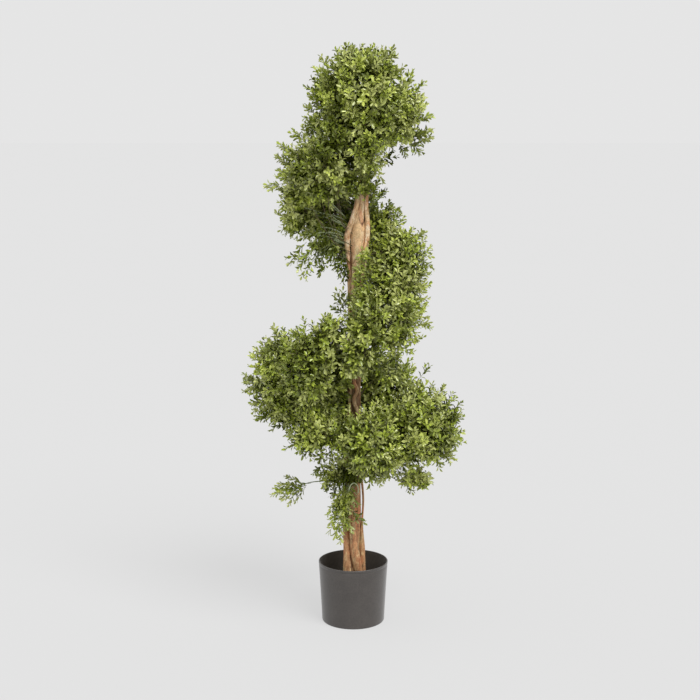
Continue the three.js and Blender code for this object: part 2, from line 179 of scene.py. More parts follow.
# The fronds that hang or stand clear of the masses, in millimetres: where each starts, where it
# ends, how many side sprigs it has and the shade they start from.
FRONDS = {
    # on its own stem, out to the left below the spiral
    "stray_spray": [
        ((-110, -30, 380), (-198, -31, 374), 2, 4),
        ((-122, -30, 374), (-210, -32, 350), 3, 4),
        ((-124, -30, 371), (-184, -33, 336), 2, 4),
        ((-124, -30, 370), (-150, -33, 332), 1, 3),
        ((-122, -28, 374), (-176, -26, 362), 2, 3),
    ],
    # down the front of the low trunk, in pale shades that are partly painted light against the
    # shade of the mass above
    "hanging_spray": [
        ((-22, -60, 390), (-30, -66, 340), 3, 5),
        ((-12, -62, 388), (-14, -68, 342), 3, 4),
        ((-6, -60, 384), (-8, -66, 352), 2, 5),
        ((-32, -54, 386), (-42, -58, 334), 3, 5),
        ((2, -58, 378), (-4, -62, 346), 2, 4),
        ((-16, -62, 360), (-24, -66, 306), 3, 4),
        ((-24, -52, 376), (-50, -56, 334), 2, 4),
        ((-22, -54, 372), (-52, -58, 284), 2, 4),
        ((-18, -54, 366), (-46, -58, 250), 3, 4),
        ((-20, -56, 362), (-34, -56, 232), 3, 4),
        ((-16, -56, 370), (-27, -56, 258), 2, 4),
        ((-12, -54, 372), (-18, -52, 292), 2, 3),
        ((-22, -56, 356), (-36, -58, 296), 2, 4),
        ((-28, -48, 362), (-40, -44, 308), 2, 2),
        ((-6, -56, 318), (27, -46, 279), 1, 2),
        ((-8, -58, 382), (2, -56, 326), 2, 3),
        ((-16, -60, 384), (-20, -62, 336), 2, 4),
        ((-34, -28, 400), (-76, -30, 368), 2, 1),
        ((-24, -34, 394), (-58, -38, 350), 2, 1),
    ],
    # on its own stem under the upper left turn
    "upper_spray": [
        ((-90, -34, 994), (-162, -36, 952), 3, 3),
        ((-110, -34, 988), (-120, -34, 914), 3, 3),
        ((-70, -30, 996), (-88, -30, 924), 2, 1),
        ((-42, -26, 1004), (-62, -28, 962), 2, 1),
        ((-118, -38, 1008), (-146, -40, 978), 2, 2),
        ((-96, -34, 978), (-76, -32, 942), 2, 1),
    ],
    # round the neck, under the crown
    "neck": [
        ((6, -24, 1150), (2, -56, 1182), 3, 4),
        ((20, -24, 1150), (18, -58, 1178), 3, 4),
        ((34, -22, 1150), (34, -54, 1180), 3, 4),
        ((12, -24, 1128), (8, -56, 1150), 3, 4),
        ((26, -24, 1130), (24, -58, 1152), 3, 4),
        ((38, -20, 1130), (40, -50, 1154), 3, 3),
        ((0, -24, 1132), (-8, -54, 1146), 3, 3),
        ((2, -22, 1122), (14, -50, 1164), 2, 4),
        ((24, -20, 1126), (32, -46, 1168), 2, 4),
        ((30, -24, 1108), (24, -52, 1144), 2, 4),
        ((-4, -20, 1132), (-10, -44, 1168), 2, 2),
        ((44, -18, 1118), (32, -40, 1142), 1, 3),
        ((10, -20, 1142), (6, -54, 1124), 2, 3),
        ((22, -20, 1182), (22, -56, 1192), 2, 3),
        ((42, -6, 1212), (108, -8, 1220), 2, 1),
        ((50, -8, 1114), (44, -12, 1180), 2, 2),
        ((40, -12, 1100), (56, -14, 1150), 3, 3),
        ((40, -10, 1080), (52, -12, 1120), 2, 2),
        ((52, -8, 1122), (82, -12, 1134), 2, 1),
    ],
    # in the hollow above the low trunk, in the darkest shades, which paint the shade of the hollow
    "hollow": [
        ((2, -30, 442), (0, -36, 398), 3, 0),
        ((-10, -30, 442), (-14, -36, 400), 3, 0),
        ((12, -28, 440), (11, -34, 404), 3, 1),
        ((-24, -28, 438), (-28, -34, 394), 3, 0),
        ((-4, -34, 450), (-6, -44, 412), 3, 1),
        ((-30, -42, 420), (-16, -48, 382), 3, 0),
        ((-16, -44, 424), (-4, -50, 386), 3, 0),
        ((0, -44, 418), (4, -50, 384), 2, 0),
        ((-32, -42, 400), (-24, -48, 370), 2, 1),
        ((12, -44, 424), (16, -48, 394), 2, 1),
        ((24, -30, 420), (21, -42, 392), 2, 2),
    ],
    # beside the trunk and in front of it
    "trunk_side": [
        ((52, -48, 968), (19, -50, 974), 3, 4),
        ((52, -48, 946), (14, -50, 958), 3, 3),
        ((50, -48, 926), (9, -50, 940), 3, 4),
        ((50, -48, 914), (5, -50, 923), 3, 3),
        ((48, -48, 900), (3, -50, 904), 3, 4),
        ((46, -48, 886), (4, -50, 886), 3, 3),
        ((46, -48, 872), (3, -50, 869), 3, 4),
        ((36, -52, 958), (12, -46, 970), 2, 3),
        ((40, -54, 934), (6, -46, 944), 2, 3),
        ((40, -56, 902), (2, -46, 912), 2, 3),
        ((36, -56, 874), (0, -46, 882), 2, 3),
        ((34, -56, 854), (0, -46, 856), 2, 3),
        ((46, -44, 968), (26, -46, 990), 2, 4),
        ((-16, -10, 984), (-27, -12, 906), 4, 1),
        ((-24, -12, 978), (-34, -14, 926), 3, 1),
        ((-44, -40, 668), (-12, -42, 642), 3, 2),
        ((-46, -40, 632), (-15, -42, 607), 3, 2),
        ((-44, -40, 598), (-14, -42, 578), 3, 2),
        ((-18, -18, 818), (-42, -22, 882), 3, 3),
        ((-26, -18, 820), (-54, -22, 840), 2, 2),
        ((-8, -26, 832), (-12, -30, 870), 1, 2),
        ((-26, -20, 826), (-24, -24, 872), 1, 3),
    ],
    # over the seams between two masses
    "seams": [
        ((-128, -92, 624), (-134, -116, 578), 3, 3),
        ((-106, -96, 628), (-106, -122, 580), 3, 4),
        ((-84, -94, 626), (-80, -122, 576), 3, 3),
        ((-60, -88, 622), (-55, -118, 574), 3, 3),
        ((-40, -78, 616), (-34, -110, 574), 3, 3),
        ((-118, -80, 610), (-124, -104, 560), 3, 3),
        ((-92, -84, 606), (-90, -112, 558), 3, 4),
        ((66, -52, 706), (74, -84, 660), 3, 3),
        ((88, -46, 704), (98, -74, 654), 3, 4),
        ((108, -36, 696), (122, -62, 646), 3, 3),
        ((78, -48, 676), (88, -84, 640), 3, 3),
        ((92, -70, 1330), (90, -112, 1290), 3, 4),
        ((104, -60, 1316), (112, -100, 1268), 3, 3),
        ((86, -60, 1300), (84, -98, 1250), 3, 3),
        ((122, -50, 1300), (136, -84, 1256), 3, 3),
        ((-66, -62, 1322), (-62, -98, 1284), 3, 4),
        ((-44, -70, 1318), (-36, -106, 1276), 3, 4),
        ((-22, -78, 1312), (-12, -114, 1268), 3, 4),
        ((-78, -56, 1296), (-80, -88, 1252), 3, 3),
        ((-50, -66, 1282), (-46, -100, 1240), 3, 4),
        ((-24, -74, 1276), (-18, -106, 1232), 3, 4),
        ((4, -76, 1262), (10, -104, 1222), 3, 4),
        ((60, -56, 1232), (66, -84, 1196), 3, 4),
    ],
    # out past the outline of a mass
    "edge": [
        ((124, -10, 1390), (146, -12, 1426), 2, 3),
        ((148, -10, 1376), (178, -12, 1402), 2, 3),
        ((156, -12, 1316), (194, -12, 1318), 2, 3),
        ((146, -10, 1280), (194, -12, 1268), 3, 3),
        ((136, -10, 1256), (172, -12, 1232), 3, 2),
        ((116, -8, 1252), (132, -10, 1222), 2, 2),
        ((-62, -12, 1434), (-80, -14, 1464), 2, 4),
        ((-118, -10, 1256), (-156, -12, 1278), 3, 4),
        ((-148, -14, 1230), (-186, -16, 1246), 3, 4),
        ((-176, -16, 1154), (-218, -18, 1144), 3, 4),
        ((78, -10, 1458), (100, -10, 1482), 2, 3),
        ((104, 20, 1054), (118, 14, 1088), 2, 3),
        ((170, -10, 966), (200, -12, 940), 2, 3),
        ((154, 0, 1010), (182, 0, 1028), 2, 3),
        ((-224, -12, 602), (-264, -14, 592), 2, 2),
        ((-208, -12, 576), (-242, -14, 550), 2, 2),
        ((-70, -20, 434), (-102, -24, 404), 2, 2),
        ((-210, -10, 566), (-250, -12, 548), 3, 3),
        ((-60, -12, 456), (-98, -14, 440), 3, 2),
        ((-52, -18, 428), (-84, -20, 404), 3, 2),
        ((164, 0, 806), (198, 0, 786), 3, 3),
        ((136, -44, 384), (152, -48, 360), 2, 2),
        ((168, -40, 398), (188, -44, 374), 2, 2),
        ((72, -44, 434), (78, -50, 394), 3, 3),
        ((96, -44, 438), (92, -50, 400), 3, 3),
        ((112, -44, 438), (116, -50, 402), 3, 3),
        ((126, -44, 440), (134, -50, 414), 3, 3),
        ((168, -8, 650), (196, -10, 684), 2, 3),
        ((-40, -30, 1360), (-58, -34, 1408), 4, 3),
        ((-30, -30, 1372), (-42, -34, 1426), 4, 3),
        ((-34, -30, 1396), (-54, -34, 1452), 4, 3),
        ((-44, -40, 1364), (-74, -44, 1432), 4, 3),
        ((-84, -30, 1280), (-112, -34, 1308), 4, 3),
        ((-96, -24, 1262), (-124, -26, 1290), 3, 3),
        ((-92, -20, 1322), (-120, -22, 1344), 3, 3),
        ((-140, -40, 600), (-178, -44, 590), 3, 2),
        ((-130, -40, 560), (-168, -44, 556), 3, 2),
        ((-110, -40, 510), (-142, -46, 494), 3, 2),
        ((-96, -40, 500), (-112, -44, 478), 2, 2),
    ],
}
# A bare stem curls over beside the trunk above the hanging spray.
CURL = [
    (-12, -68, 368), (-8, -76, 385), (1, -80, 394), (10, -78, 388), (13, -72, 374), (12, -66, 364)]

# ---- the leaf, one unit long: along, across and up from its foot ----
LEAF = np.array([
    (0.0, 0.0, 0.0),
    (0.5, 0.0, -0.015),
    (1.0, 0.0, -0.10),
    (0.28, 0.155, 0.07),
    (0.70, 0.215, 0.085),
    (0.28, -0.155, 0.07),
    (0.70, -0.215, 0.085),
])
LEAF_FACES = np.array([(0, 1, 3), (1, 4, 3), (1, 2, 4), (0, 5, 1), (1, 5, 6), (1, 6, 2)])
INNER_LEAF = LEAF[[0, 2, 3, 4, 5, 6]]
INNER_LEAF_FACES = np.array([(0, 3, 2), (0, 1, 3), (0, 4, 5), (0, 5, 1)])

# Each pair of leaves on a sprig, from the tip down: how far it opens from the stem and its size.
PAIRS = [
    (24, 0.78), (40, 0.98), (50, 1.06), (54, 1.06), (56, 1.0), (58, 0.96), (60, 0.9), (62, 0.85)]

# The sprigs of a mass in layers, in millimetres: from and to which depth under its outline, the
# distance between sprig tips, the leaf's size, the pairs on a sprig and the shade they start from.
# The deeper layers start from darker shades, which paint the shade inside the mass. The core fills
# the mass from its first depth in.
LAYERS = [
    (-6, 15, 18.5, 1.0, 7, 3.4),
    (18, 36, 22, 1.05, 6, 2.5),
    (32, 0, 25, 1.35, 6, 1.2),
]
SKIN, CORE = 0, 2  # the numbers of the outermost layer and the core
# How a mass branches, in millimetres: the distance between its sprays, from a fork to the tips of
# its sprigs, between the ends of its boughs, and from the trunk's middle to the core's sprigs.
SPRAY = 43
SPRIG_REACH = 52
BOUGHS_APART = 92
TRUNK_CLEAR = 34
# How far sprig tips may pass the solids' own box, in millimetres.
PAST_LOW = (11, 8, 0)
PAST_HIGH = (11, 8, 12)
# The radii of a sprig's stem and of a bare wire, from foot to tip, in millimetres, and how thin a
# bough or twig gets towards its end.
SPRIG_RADII = (0.62, 0.32)
WIRE_RADII = (0.9, 0.6)
LIMB_TAPER = 0.6

# How finely the wood, the pot and the floor are drawn: points round each, and the height in
# millimetres between the wood's rings. The trunk has three lobes this much of its radius deep.
TRUNK_SIDES = 72
LIANA_SIDES = 20
POT_SIDES = 144
CEMENT_SIDES = 128
FLOOR_SIDES = 96
BARK_STEP = 3
LOBE = 0.08


# ---- settings ----
def linear(hex_colour):
    """Turns an sRGB hex colour to linear red, green and blue."""
    parts = [int(hex_colour[i:i + 2], 16) / 255 for i in (1, 3, 5)]
    return [p / 12.92 if p <= 0.04045 else ((p + 0.055) / 1.055) ** 2.4 for p in parts]


def colour_setting(name, description, hex_colour):
    """A colour that a user may change, given as sRGB hex."""
    return bpy.props.FloatVectorProperty(
        name=name, description=description, subtype="COLOR", min=0, max=1,
        default=linear(hex_colour))


def length_setting(name, description, millimetres):
    """A length that a user may change, given in millimetres."""
    return bpy.props.FloatProperty(
        name=name, description=description, unit="LENGTH", min=0, default=millimetres * MM)


class TopiaryPotSettings(bpy.types.PropertyGroup):
    height: length_setting("Height", "Height of the pot", 162)
    base_radius: length_setting("Base radius", "Radius of the pot above its foot", 82.5)
    top_radius: length_setting("Top radius", "Radius of the pot at its rim", 91.4)
    wall: length_setting("Wall", "Thickness of the wall", 2.6)
    filling_top: length_setting("Filling", "Height of the cement in the pot", 98)
    plastic: colour_setting("Plastic", "Colour of the pot", "#423e3b")
    inside: colour_setting("Inside", "Colour of the pot's dusty inside", "#3a342c")
    cement: colour_setting("Cement", "Colour of the stained cement", "#2f2c28")


class TopiaryWoodSettings(bpy.types.PropertyGroup):
    ridge: length_setting("Ridge depth", "Depth of the long grooves in the bark", 1.3)
    flake: length_setting("Flake depth", "How far the bark's plates lift", 0.7)
    low_bark: colour_setting("Lower bark", "Colour of the bark near the pot", "#ae8058")
    high_bark: colour_setting("Upper bark", "Colour of the bark near the crown", "#d0ae83")
    stain: colour_setting("Stain", "Colour of the rusty stains", "#b9704a")
    film: colour_setting("Film", "Colour of the thin grey-green film on the bark", "#a9a67c")
    pale_low: colour_setting("Lower flakes", "Colour of the bared wood low down", "#cbb183")
    pale_high: colour_setting("Upper flakes", "Colour of the bared wood high up", "#ddccb0")
    # painted shade: the bark takes this colour where the foliage covers and shades the trunk
    painted_foliage_shade: colour_setting("Covered wood", "Colour of the bark that the foliage covers", "#4a321e")
    groove: colour_setting("Grooves", "Colour down in the grooves", "#5a3c26")


class TopiaryFoliageSettings(bpy.types.PropertyGroup):
    seed: bpy.props.IntProperty(
        name="Seed", description="Changes how the sprigs fall", default=7, min=0)
    leaf: length_setting("Leaf length", "Length of a full leaf", 15.2)
    pair_gap: length_setting("Pair spacing", "Distance between pairs of leaves on a sprig", 7.8)
    spread: bpy.props.FloatProperty(
        name="Sprig spacing", description="Scales the distance between sprigs", default=1,
        min=0.5, max=3)
    twig: length_setting("Twig radius", "Radius of a twig where it leaves its bough", 1.1)
    bough: length_setting("Bough radius", "Radius of a bough where it leaves the trunk", 1.9)
    # The darker shades also paint shade: the deeper layers of a mass, its undersides and the
    # hollows start from them.
    shade_1: colour_setting("Shade 1", "Deepest leaves", "#3c4406")
    shade_2: colour_setting("Shade 2", "Inner leaves", "#515c12")
    shade_3: colour_setting("Shade 3", "Older leaves", "#6a7429")
    shade_4: colour_setting("Shade 4", "Leaves of the surface", "#868e45")
    shade_5: colour_setting("Shade 5", "Young leaves", "#9ba355")
    shade_6: colour_setting("Shade 6", "Leaves at the tips", "#b1b76b")
    fresh_4: colour_setting("Fresh shade 4", "Greener leaves of the surface", "#7f8d2b")
    fresh_5: colour_setting("Fresh shade 5", "Greener young leaves", "#99a73c")
    fresh_6: colour_setting("Fresh shade 6", "Greener leaves at the tips", "#b2bc57")
    fresh_share: bpy.props.FloatProperty(
        name="Fresh sprigs", description="Share of the sprigs that are greener", default=0.5,
        min=0, max=1, subtype="FACTOR")
    stem: colour_setting("Stem", "Colour of the coated stems", "#66704a")
    # The bare wires are paler than the coated stems, partly their own pale coating and partly
    # painted light to make them look lit.
    wire: colour_setting("Wire", "Colour of the thin bare wires", "#a3ad88")
    twig_colour: colour_setting("Twig", "Colour of the twigs inside the masses", "#5c5034")
    wires: bpy.props.IntProperty(
        name="Bare wires", description="Wires that fan out under the upper left mass",
        default=11, min=1)


class TopiaryStageSettings(bpy.types.PropertyGroup):
    backdrop: bpy.props.FloatProperty(
        name="Backdrop", description="Brightness of the room", default=0.785, min=0)
    key: bpy.props.FloatProperty(
        name="Key light", description="Strength of the key light", default=2.8, min=0)
    fill: bpy.props.FloatProperty(
        name="Fill light", description="Strength of the fill light", default=0.65, min=0)
    floor_glow: bpy.props.FloatProperty(
        name="Floor glow", description="Share of the floor's brightness that is its own light",
        default=0.72, min=0, max=1, subtype="FACTOR")
    lens: bpy.props.FloatProperty(
        name="Lens", description="Focal length in millimetres", default=66.6, min=1)


# ---- small helpers ----
def fresh_material(name):
    """An empty node material with its output, and its tree."""
    material = bpy.data.materials.new(name)
    material.use_nodes = True
    material.node_tree.nodes.clear()
    return material, material.node_tree


def add_node(tree, kind, inputs=None, stops=None, **settings):
    """Adds one node with its settings, and gives its inputs values or links."""
    node = tree.nodes.new(kind)
    for key, value in settings.items():
        setattr(node, key, value)
    if stops:
        ramp = node.color_ramp
        while len(ramp.elements) < len(stops):
            ramp.elements.new(0.5)
        for element, (position, colour) in zip(ramp.elements, stops):
            element.position, element.color = position, colour
    for key, value in (inputs or {}).items():
        socket = node.inputs[key]
        if isinstance(value, bpy.types.NodeSocket):
            tree.links.new(value, socket)
        else:
            socket.default_value = value
    return node


def rgba(colour):
    """An opaque colour from red, green and blue."""
    return (*colour, 1)


def grey(value):
    """An opaque grey."""
    return (value, value, value, 1)


def mesh_object(name, points, face_sets, materials, material_index=None):
    """A mesh object from arrays. face_sets are arrays of faces, each with its own corner count."""
    mesh = bpy.data.meshes.new(name)
    points = np.asarray(points, np.float32).reshape(-1, 3)
    corners = np.concatenate([np.asarray(f, np.int32).ravel() for f in face_sets])
    counts = np.concatenate([np.full(len(f), np.shape(f)[1], np.int32) for f in face_sets])
    starts = np.concatenate([[0], np.cumsum(counts)[:-1]]).astype(np.int32)
    mesh.vertices.add(len(points))
    mesh.vertices.foreach_set("co", points.ravel())
    mesh.loops.add(len(corners))
    mesh.loops.foreach_set("vertex_index", corners)
    mesh.polygons.add(len(counts))
    mesh.polygons.foreach_set("loop_start", starts)
    for material in materials:
        mesh.materials.append(material)
    if material_index is not None:
        mesh.polygons.foreach_set("material_index", np.asarray(material_index, np.int32))
    mesh.polygons.foreach_set("use_smooth", np.ones(len(counts), bool))
    mesh.update(calc_edges=True)
    mesh.validate()
    piece = bpy.data.objects.new(name, mesh)
    bpy.context.scene.collection.objects.link(piece)
    return piece


def seat(piece, slot, *nodes):
    """The piece rides on the one body and stands for its CAD nodes, which are hidden. The slot is
    not used.
    """
    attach(piece, "root")
    if nodes:
        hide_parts(*nodes)


def smoothly(stations, key, column, at):
    """Reads a column of a table on a smooth curve at any value of its key column."""
    table = np.asarray(stations, float)
    x, y = table[:, key], table[:, column]
    at = np.clip(at, x[0], x[-1])
    i = np.clip(np.searchsorted(x, at) - 1, 0, len(x) - 2)
    before, after = np.maximum(i - 1, 0), np.minimum(i + 2, len(x) - 1)
    span = x[i + 1] - x[i]
    t = (at - x[i]) / span
    leaving = (y[i + 1] - y[before]) / (x[i + 1] - x[before]) * span
    arriving = (y[after] - y[i]) / (x[after] - x[i]) * span
    return (
        (2 * t**3 - 3 * t**2 + 1) * y[i]
        + (t**3 - 2 * t**2 + t) * leaving
        + (3 * t**2 - 2 * t**3) * y[i + 1]
        + (t**3 - t**2) * arriving
    )


def unit(vectors):
    """The vectors at length one."""
    return vectors / np.maximum(np.linalg.norm(vectors, axis=-1, keepdims=True), 1e-12)


def ring_faces(count, sides):
    """Quads over a stack of rings of points, and the triangles that close both ends."""
    at = np.arange(count * sides).reshape(count, sides)
    on = np.roll(at, -1, axis=1)
    quads = np.stack([at[:-1], on[:-1], on[1:], at[1:]], -1).reshape(-1, 4)
    fan = np.arange(1, sides - 1)
    low = np.stack([np.zeros_like(fan), fan + 1, fan], -1)
    high = np.stack([np.zeros_like(fan), fan, fan + 1], -1) + (count - 1) * sides
    return quads, np.concatenate([low, high])


def tubes(paths, radii, sides):
    """Round tapering tubes along many paths at once: paths (n, m, 3), radii (n, m)."""
    n, m = radii.shape
    ahead = unit(np.gradient(paths, axis=1))
    chord = unit(paths[:, -1] - paths[:, 0])
    helper = np.where(np.abs(chord[:, 2:3]) < 0.8, [[0.0, 0.0, 1.0]], [[1.0, 0.0, 0.0]])
    side = unit(np.cross(ahead, helper[:, None, :]))
    other = np.cross(ahead, side)
    angle = 2 * np.pi * np.arange(sides) / sides
    ring = (
        side[:, :, None, :] * np.cos(angle)[:, None] + other[:, :, None, :] * np.sin(angle)[:, None]
    )
    points = paths[:, :, None, :] + ring * radii[:, :, None, None]
    quads, ends = ring_faces(m, sides)
    step = (np.arange(n) * m * sides)[:, None, None]
    return points.reshape(-1, 3), (quads + step).reshape(-1, 4), (ends + step).reshape(-1, 3)


def bow(start, control, end, t):
    """Points on many bowed curves at once."""
    t = np.asarray(t)[..., None]
    return (1 - t) ** 2 * start + 2 * t * (1 - t) * control + t**2 * end


def graded(start, end, count, rows):
    """Values graded evenly from start to end, the same in each row."""
    return np.linspace(start, end, count)[None].repeat(rows, 0)


def bows(start, control, end, count):
    """Many bowed paths at once, each with as many points."""
    return bow(start[:, None], control[:, None], end[:, None], graded(0, 1, count, len(start)))


def smooth_path(points, count):
    """A smooth path through a few points, with evenly spaced samples."""
    table = np.column_stack([np.arange(len(points)), np.asarray(points, float)])
    t = np.linspace(0, len(points) - 1, count)
    return np.column_stack([smoothly(table, 0, c, t) for c in (1, 2, 3)])


# ---- the pot and its cement ----
def turned(profile, sides):
    """Rings of points from a profile of radius and height, turned about the upright axis."""
    angle = 2 * np.pi * np.arange(sides) / sides
    r, z = np.asarray(profile, float).T
    r, z = r[:, None], np.repeat(z[:, None], sides, 1)
    return np.stack([r * np.cos(angle), r * np.sin(angle), z], -1)


def rounded(corner, start, end, steps=5):
    """A rounded corner of a profile, from one point to another by way of its corner."""
    t = np.linspace(0, 1, steps)
    return [tuple(p) for p in bow(np.array(start), np.array(corner), np.array(end), t)]


def speckled(tree, colour, drift, grain, shades, stops):
    """A colour that drifts between two shades of itself, with the specks of its grain on top."""
    dark, pale = (rgba([c * shade for c in colour]) for shade in shades)
    tone = add_node(
        tree, "ShaderNodeMix", {"Factor": drift, "A": dark, "B": pale}, data_type="RGBA")
    speck = add_node(tree, "ShaderNodeValToRGB", {"Fac": grain}, stops=stops)
    base = add_node(
        tree, "ShaderNodeMix",
        {"Factor": 1.0, "A": tone.outputs["Result"], "B": speck.outputs["Color"]},
        data_type="RGBA", blend_type="MULTIPLY")
    return base.outputs["Result"]


def pot_plastic(colour, name, rough=0.31):
    """Injection-moulded polypropylene with a fine spark-eroded grain: a soft satin dark grey
    that catches the light along its edges, and dull inside, where peat dust clings."""
    material, tree = fresh_material(name)
    where = add_node(tree, "ShaderNodeTexCoord").outputs["Object"]
    # flow marks are about 38 mm across; the mould's grain is about 0.3 mm, and is drawn at 1.2 mm
    # so that it shows
    cloud, grain = (
        add_node(
            tree, "ShaderNodeTexNoise",
            {"Vector": where, "Scale": scale, "Detail": detail}).outputs["Fac"]
        for scale, detail in ((26.0, 3.0), (850.0, 2.0)))
    base = speckled(tree, colour, cloud, grain, (0.78, 1.22), [(0.3, grey(0.55)), (0.7, grey(1.5))])
    gloss = add_node(
        tree, "ShaderNodeMapRange",
        {"Value": cloud, "To Min": rough - 0.06, "To Max": rough + 0.08})
    bump = add_node(tree, "ShaderNodeBump", {"Height": grain, "Strength": 0.25, "Distance": 0.0003})
    shader = add_node(
        tree, "ShaderNodeBsdfPrincipled",
        {"Base Color": base, "Roughness": gloss.outputs["Result"], "Normal": bump.outputs["Normal"],
         "IOR": 1.49, "Sheen Weight": 0.2, "Sheen Roughness": 0.4})
    add_node(tree, "ShaderNodeOutputMaterial", {"Surface": shader.outputs["BSDF"]})
    return material


def dark_cement(pot):
    """Cast cement stained dark with peat dust: dull, gritty, with pale and dark grains."""
    material, tree = fresh_material("cast cement, stained dark")
    where = add_node(tree, "ShaderNodeTexCoord").outputs["Object"]
    # lumps of about 17 mm, and sand grains of about 2.4 mm
    lump, sand = (
        add_node(
            tree, "ShaderNodeTexNoise",
            {"Vector": where, "Scale": scale, "Detail": detail}).outputs["Fac"]
        for scale, detail in ((60.0, 3.0), (420.0, 4.0)))
    base = speckled(
        tree, pot.cement, lump, sand, (0.6, 1.5),
        [(0.35, grey(0.6)), (0.62, grey(1.25)), (0.75, grey(2.2))])
    bump = add_node(tree, "ShaderNodeBump", {"Height": sand, "Strength": 0.6, "Distance": 0.001})
    shader = add_node(
        tree, "ShaderNodeBsdfPrincipled",
        {"Base Color": base, "Roughness": 0.93, "Normal": bump.outputs["Normal"]})
    add_node(tree, "ShaderNodeOutputMaterial", {"Surface": shader.outputs["BSDF"]})
    return material


class TOPIARY_OT_pot(bpy.types.Operator):
    """Make the pot with its rounded foot and rim, and the cement that the trunk is cast into"""

    bl_idname = "topiary.pot"
    bl_label = "Pot and cement"

    def execute(self, context):
        pot = context.scene.topiary_pot
        self.shell(pot)
        self.cement(pot)
        return {"FINISHED"}

    def shell(self, pot):
        """The thin wall, from the middle of the foot up the outside and down the inside."""
        base, top = pot.base_radius, pot.top_radius
        crown, foot, floor = pot.height - 1.2 * MM, 3.6 * MM, 3.5 * MM
        inner, flare = top - pot.wall, top - base
        profile = [(0.0001, 0), (base - 6 * MM, 0)]
        profile += rounded((base, 0), (base - 3.4 * MM, 0), (base + 0.2 * MM, foot))
        for share in np.linspace(0.08, 0.955, 14):
            # the thin wall bellies by a fraction of a millimetre between foot and rim
            profile.append((
                base + flare * share - 0.35 * MM * math.sin(math.pi * share),
                foot + (crown - foot) * share))
        # a fine step 6 mm down marks off the rim
        profile += [
            (top - 0.75 * MM, pot.height - 6.6 * MM), (top - 0.1 * MM, pot.height - 6.1 * MM)]
        profile += rounded((top, pot.height), (top, crown), (top - 1.2 * MM, pot.height))
        rim = len(profile)
        profile += rounded((inner, pot.height), (inner + 1.2 * MM, pot.height), (inner, crown))
        for share in np.linspace(0.95, 0.05, 10):
            profile.append((inner - flare * (1 - share), floor + (crown - floor) * share))
        profile += [(base - pot.wall - 1 * MM, floor), (0.0001, floor)]
        rings = turned(profile, POT_SIDES)
        quads, ends = ring_faces(len(rings), POT_SIDES)
        # the inside, and not the disc under the foot, has the dusty plastic
        dusty = (quads[:, 0] >= POT_SIDES * (rim + 1)).astype(int)
        discs = np.arange(len(ends)) >= len(ends) // 2
        piece = mesh_object(
            "pot_shell", rings, [quads, ends],
            [pot_plastic(pot.plastic, "moulded polypropylene, dark grey, fine grain"),
             pot_plastic(pot.inside, "moulded polypropylene, inside, dusty", rough=0.75)],
            np.concatenate([dusty, discs.astype(int)]))
        seat(piece, "pot", "pot")

    def cement(self, pot):
        """The cement's block, with a top trowelled by hand."""
        low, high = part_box("cement_filling")
        edge = high.x - 0.2 * MM
        profile = [
            (0.0001, low.z), (pot.base_radius - pot.wall - 1 * MM, low.z),
            (edge, pot.filling_top - 2.5 * MM), (edge - 0.4 * MM, pot.filling_top - 1.2 * MM)]
        profile += [(edge * share, pot.filling_top) for share in np.linspace(0.985, 0.01, 60)]
        rings = turned(profile, CEMENT_SIDES)
        top = rings[3:]
        for p in top.reshape(-1, 3):
            # slow rises of 2 mm with grit on them, and a low rise at the wood
            slow = noise.noise(Vector((p[0] * 45, p[1] * 45, 0.3)))
            grit = noise.fractal(Vector((p[0] * 260, p[1] * 260, 5.1)), 0.8, 2.1, 3)
            near = max(0.0, 1 - max(0.0, math.hypot(p[0] - 0.004, p[1]) - 0.03) / 0.012)
            p[2] += (1.3 * slow + 0.7 * grit - 2.2 + 1.6 * near**2) * MM
        rings[3:] = top
        quads, ends = ring_faces(len(rings), CEMENT_SIDES)
        piece = mesh_object("cement_cast", rings, [quads, ends], [dark_cement(pot)])
        seat(piece, "cement", "cement_filling")


# ---- the trunk and its lianas ----
def trunk_at(z_mm):
    """The trunk's centre at heights in millimetres, and its radius."""
    z_mm = np.asarray(z_mm, float)
    centre = np.stack([smoothly(TRUNK, 2, 0, z_mm), smoothly(TRUNK, 2, 1, z_mm), z_mm], -1)
    return centre * MM, smoothly(TRUNK, 2, 3, z_mm) * MM


def axis_at(points):
    """The middle of the trunk at the height of each point."""
    return trunk_at(points[:, 2] / MM)[0]


def liana_path(name, count):
    """A liana's centre line as it winds up the trunk, and its radii."""
    stations = LIANAS[name]
    z = np.linspace(stations[0][0], stations[-1][0], count)
    azimuth = np.radians(smoothly(stations, 0, 1, z))
    thick = smoothly(stations, 0, 3, z) * MM
    centre, radius = trunk_at(z)
    lobe = 1 + LOBE * np.cos(3 * (azimuth - np.radians(TRUNK_TWIST * z / 1000)))
    out = radius * lobe + smoothly(stations, 0, 2, z) * MM + thick * (1 - LIANA_PRESS)
    centre[:, 0] += out * np.cos(azimuth)
    centre[:, 1] += out * np.sin(azimuth)
    return centre, thick


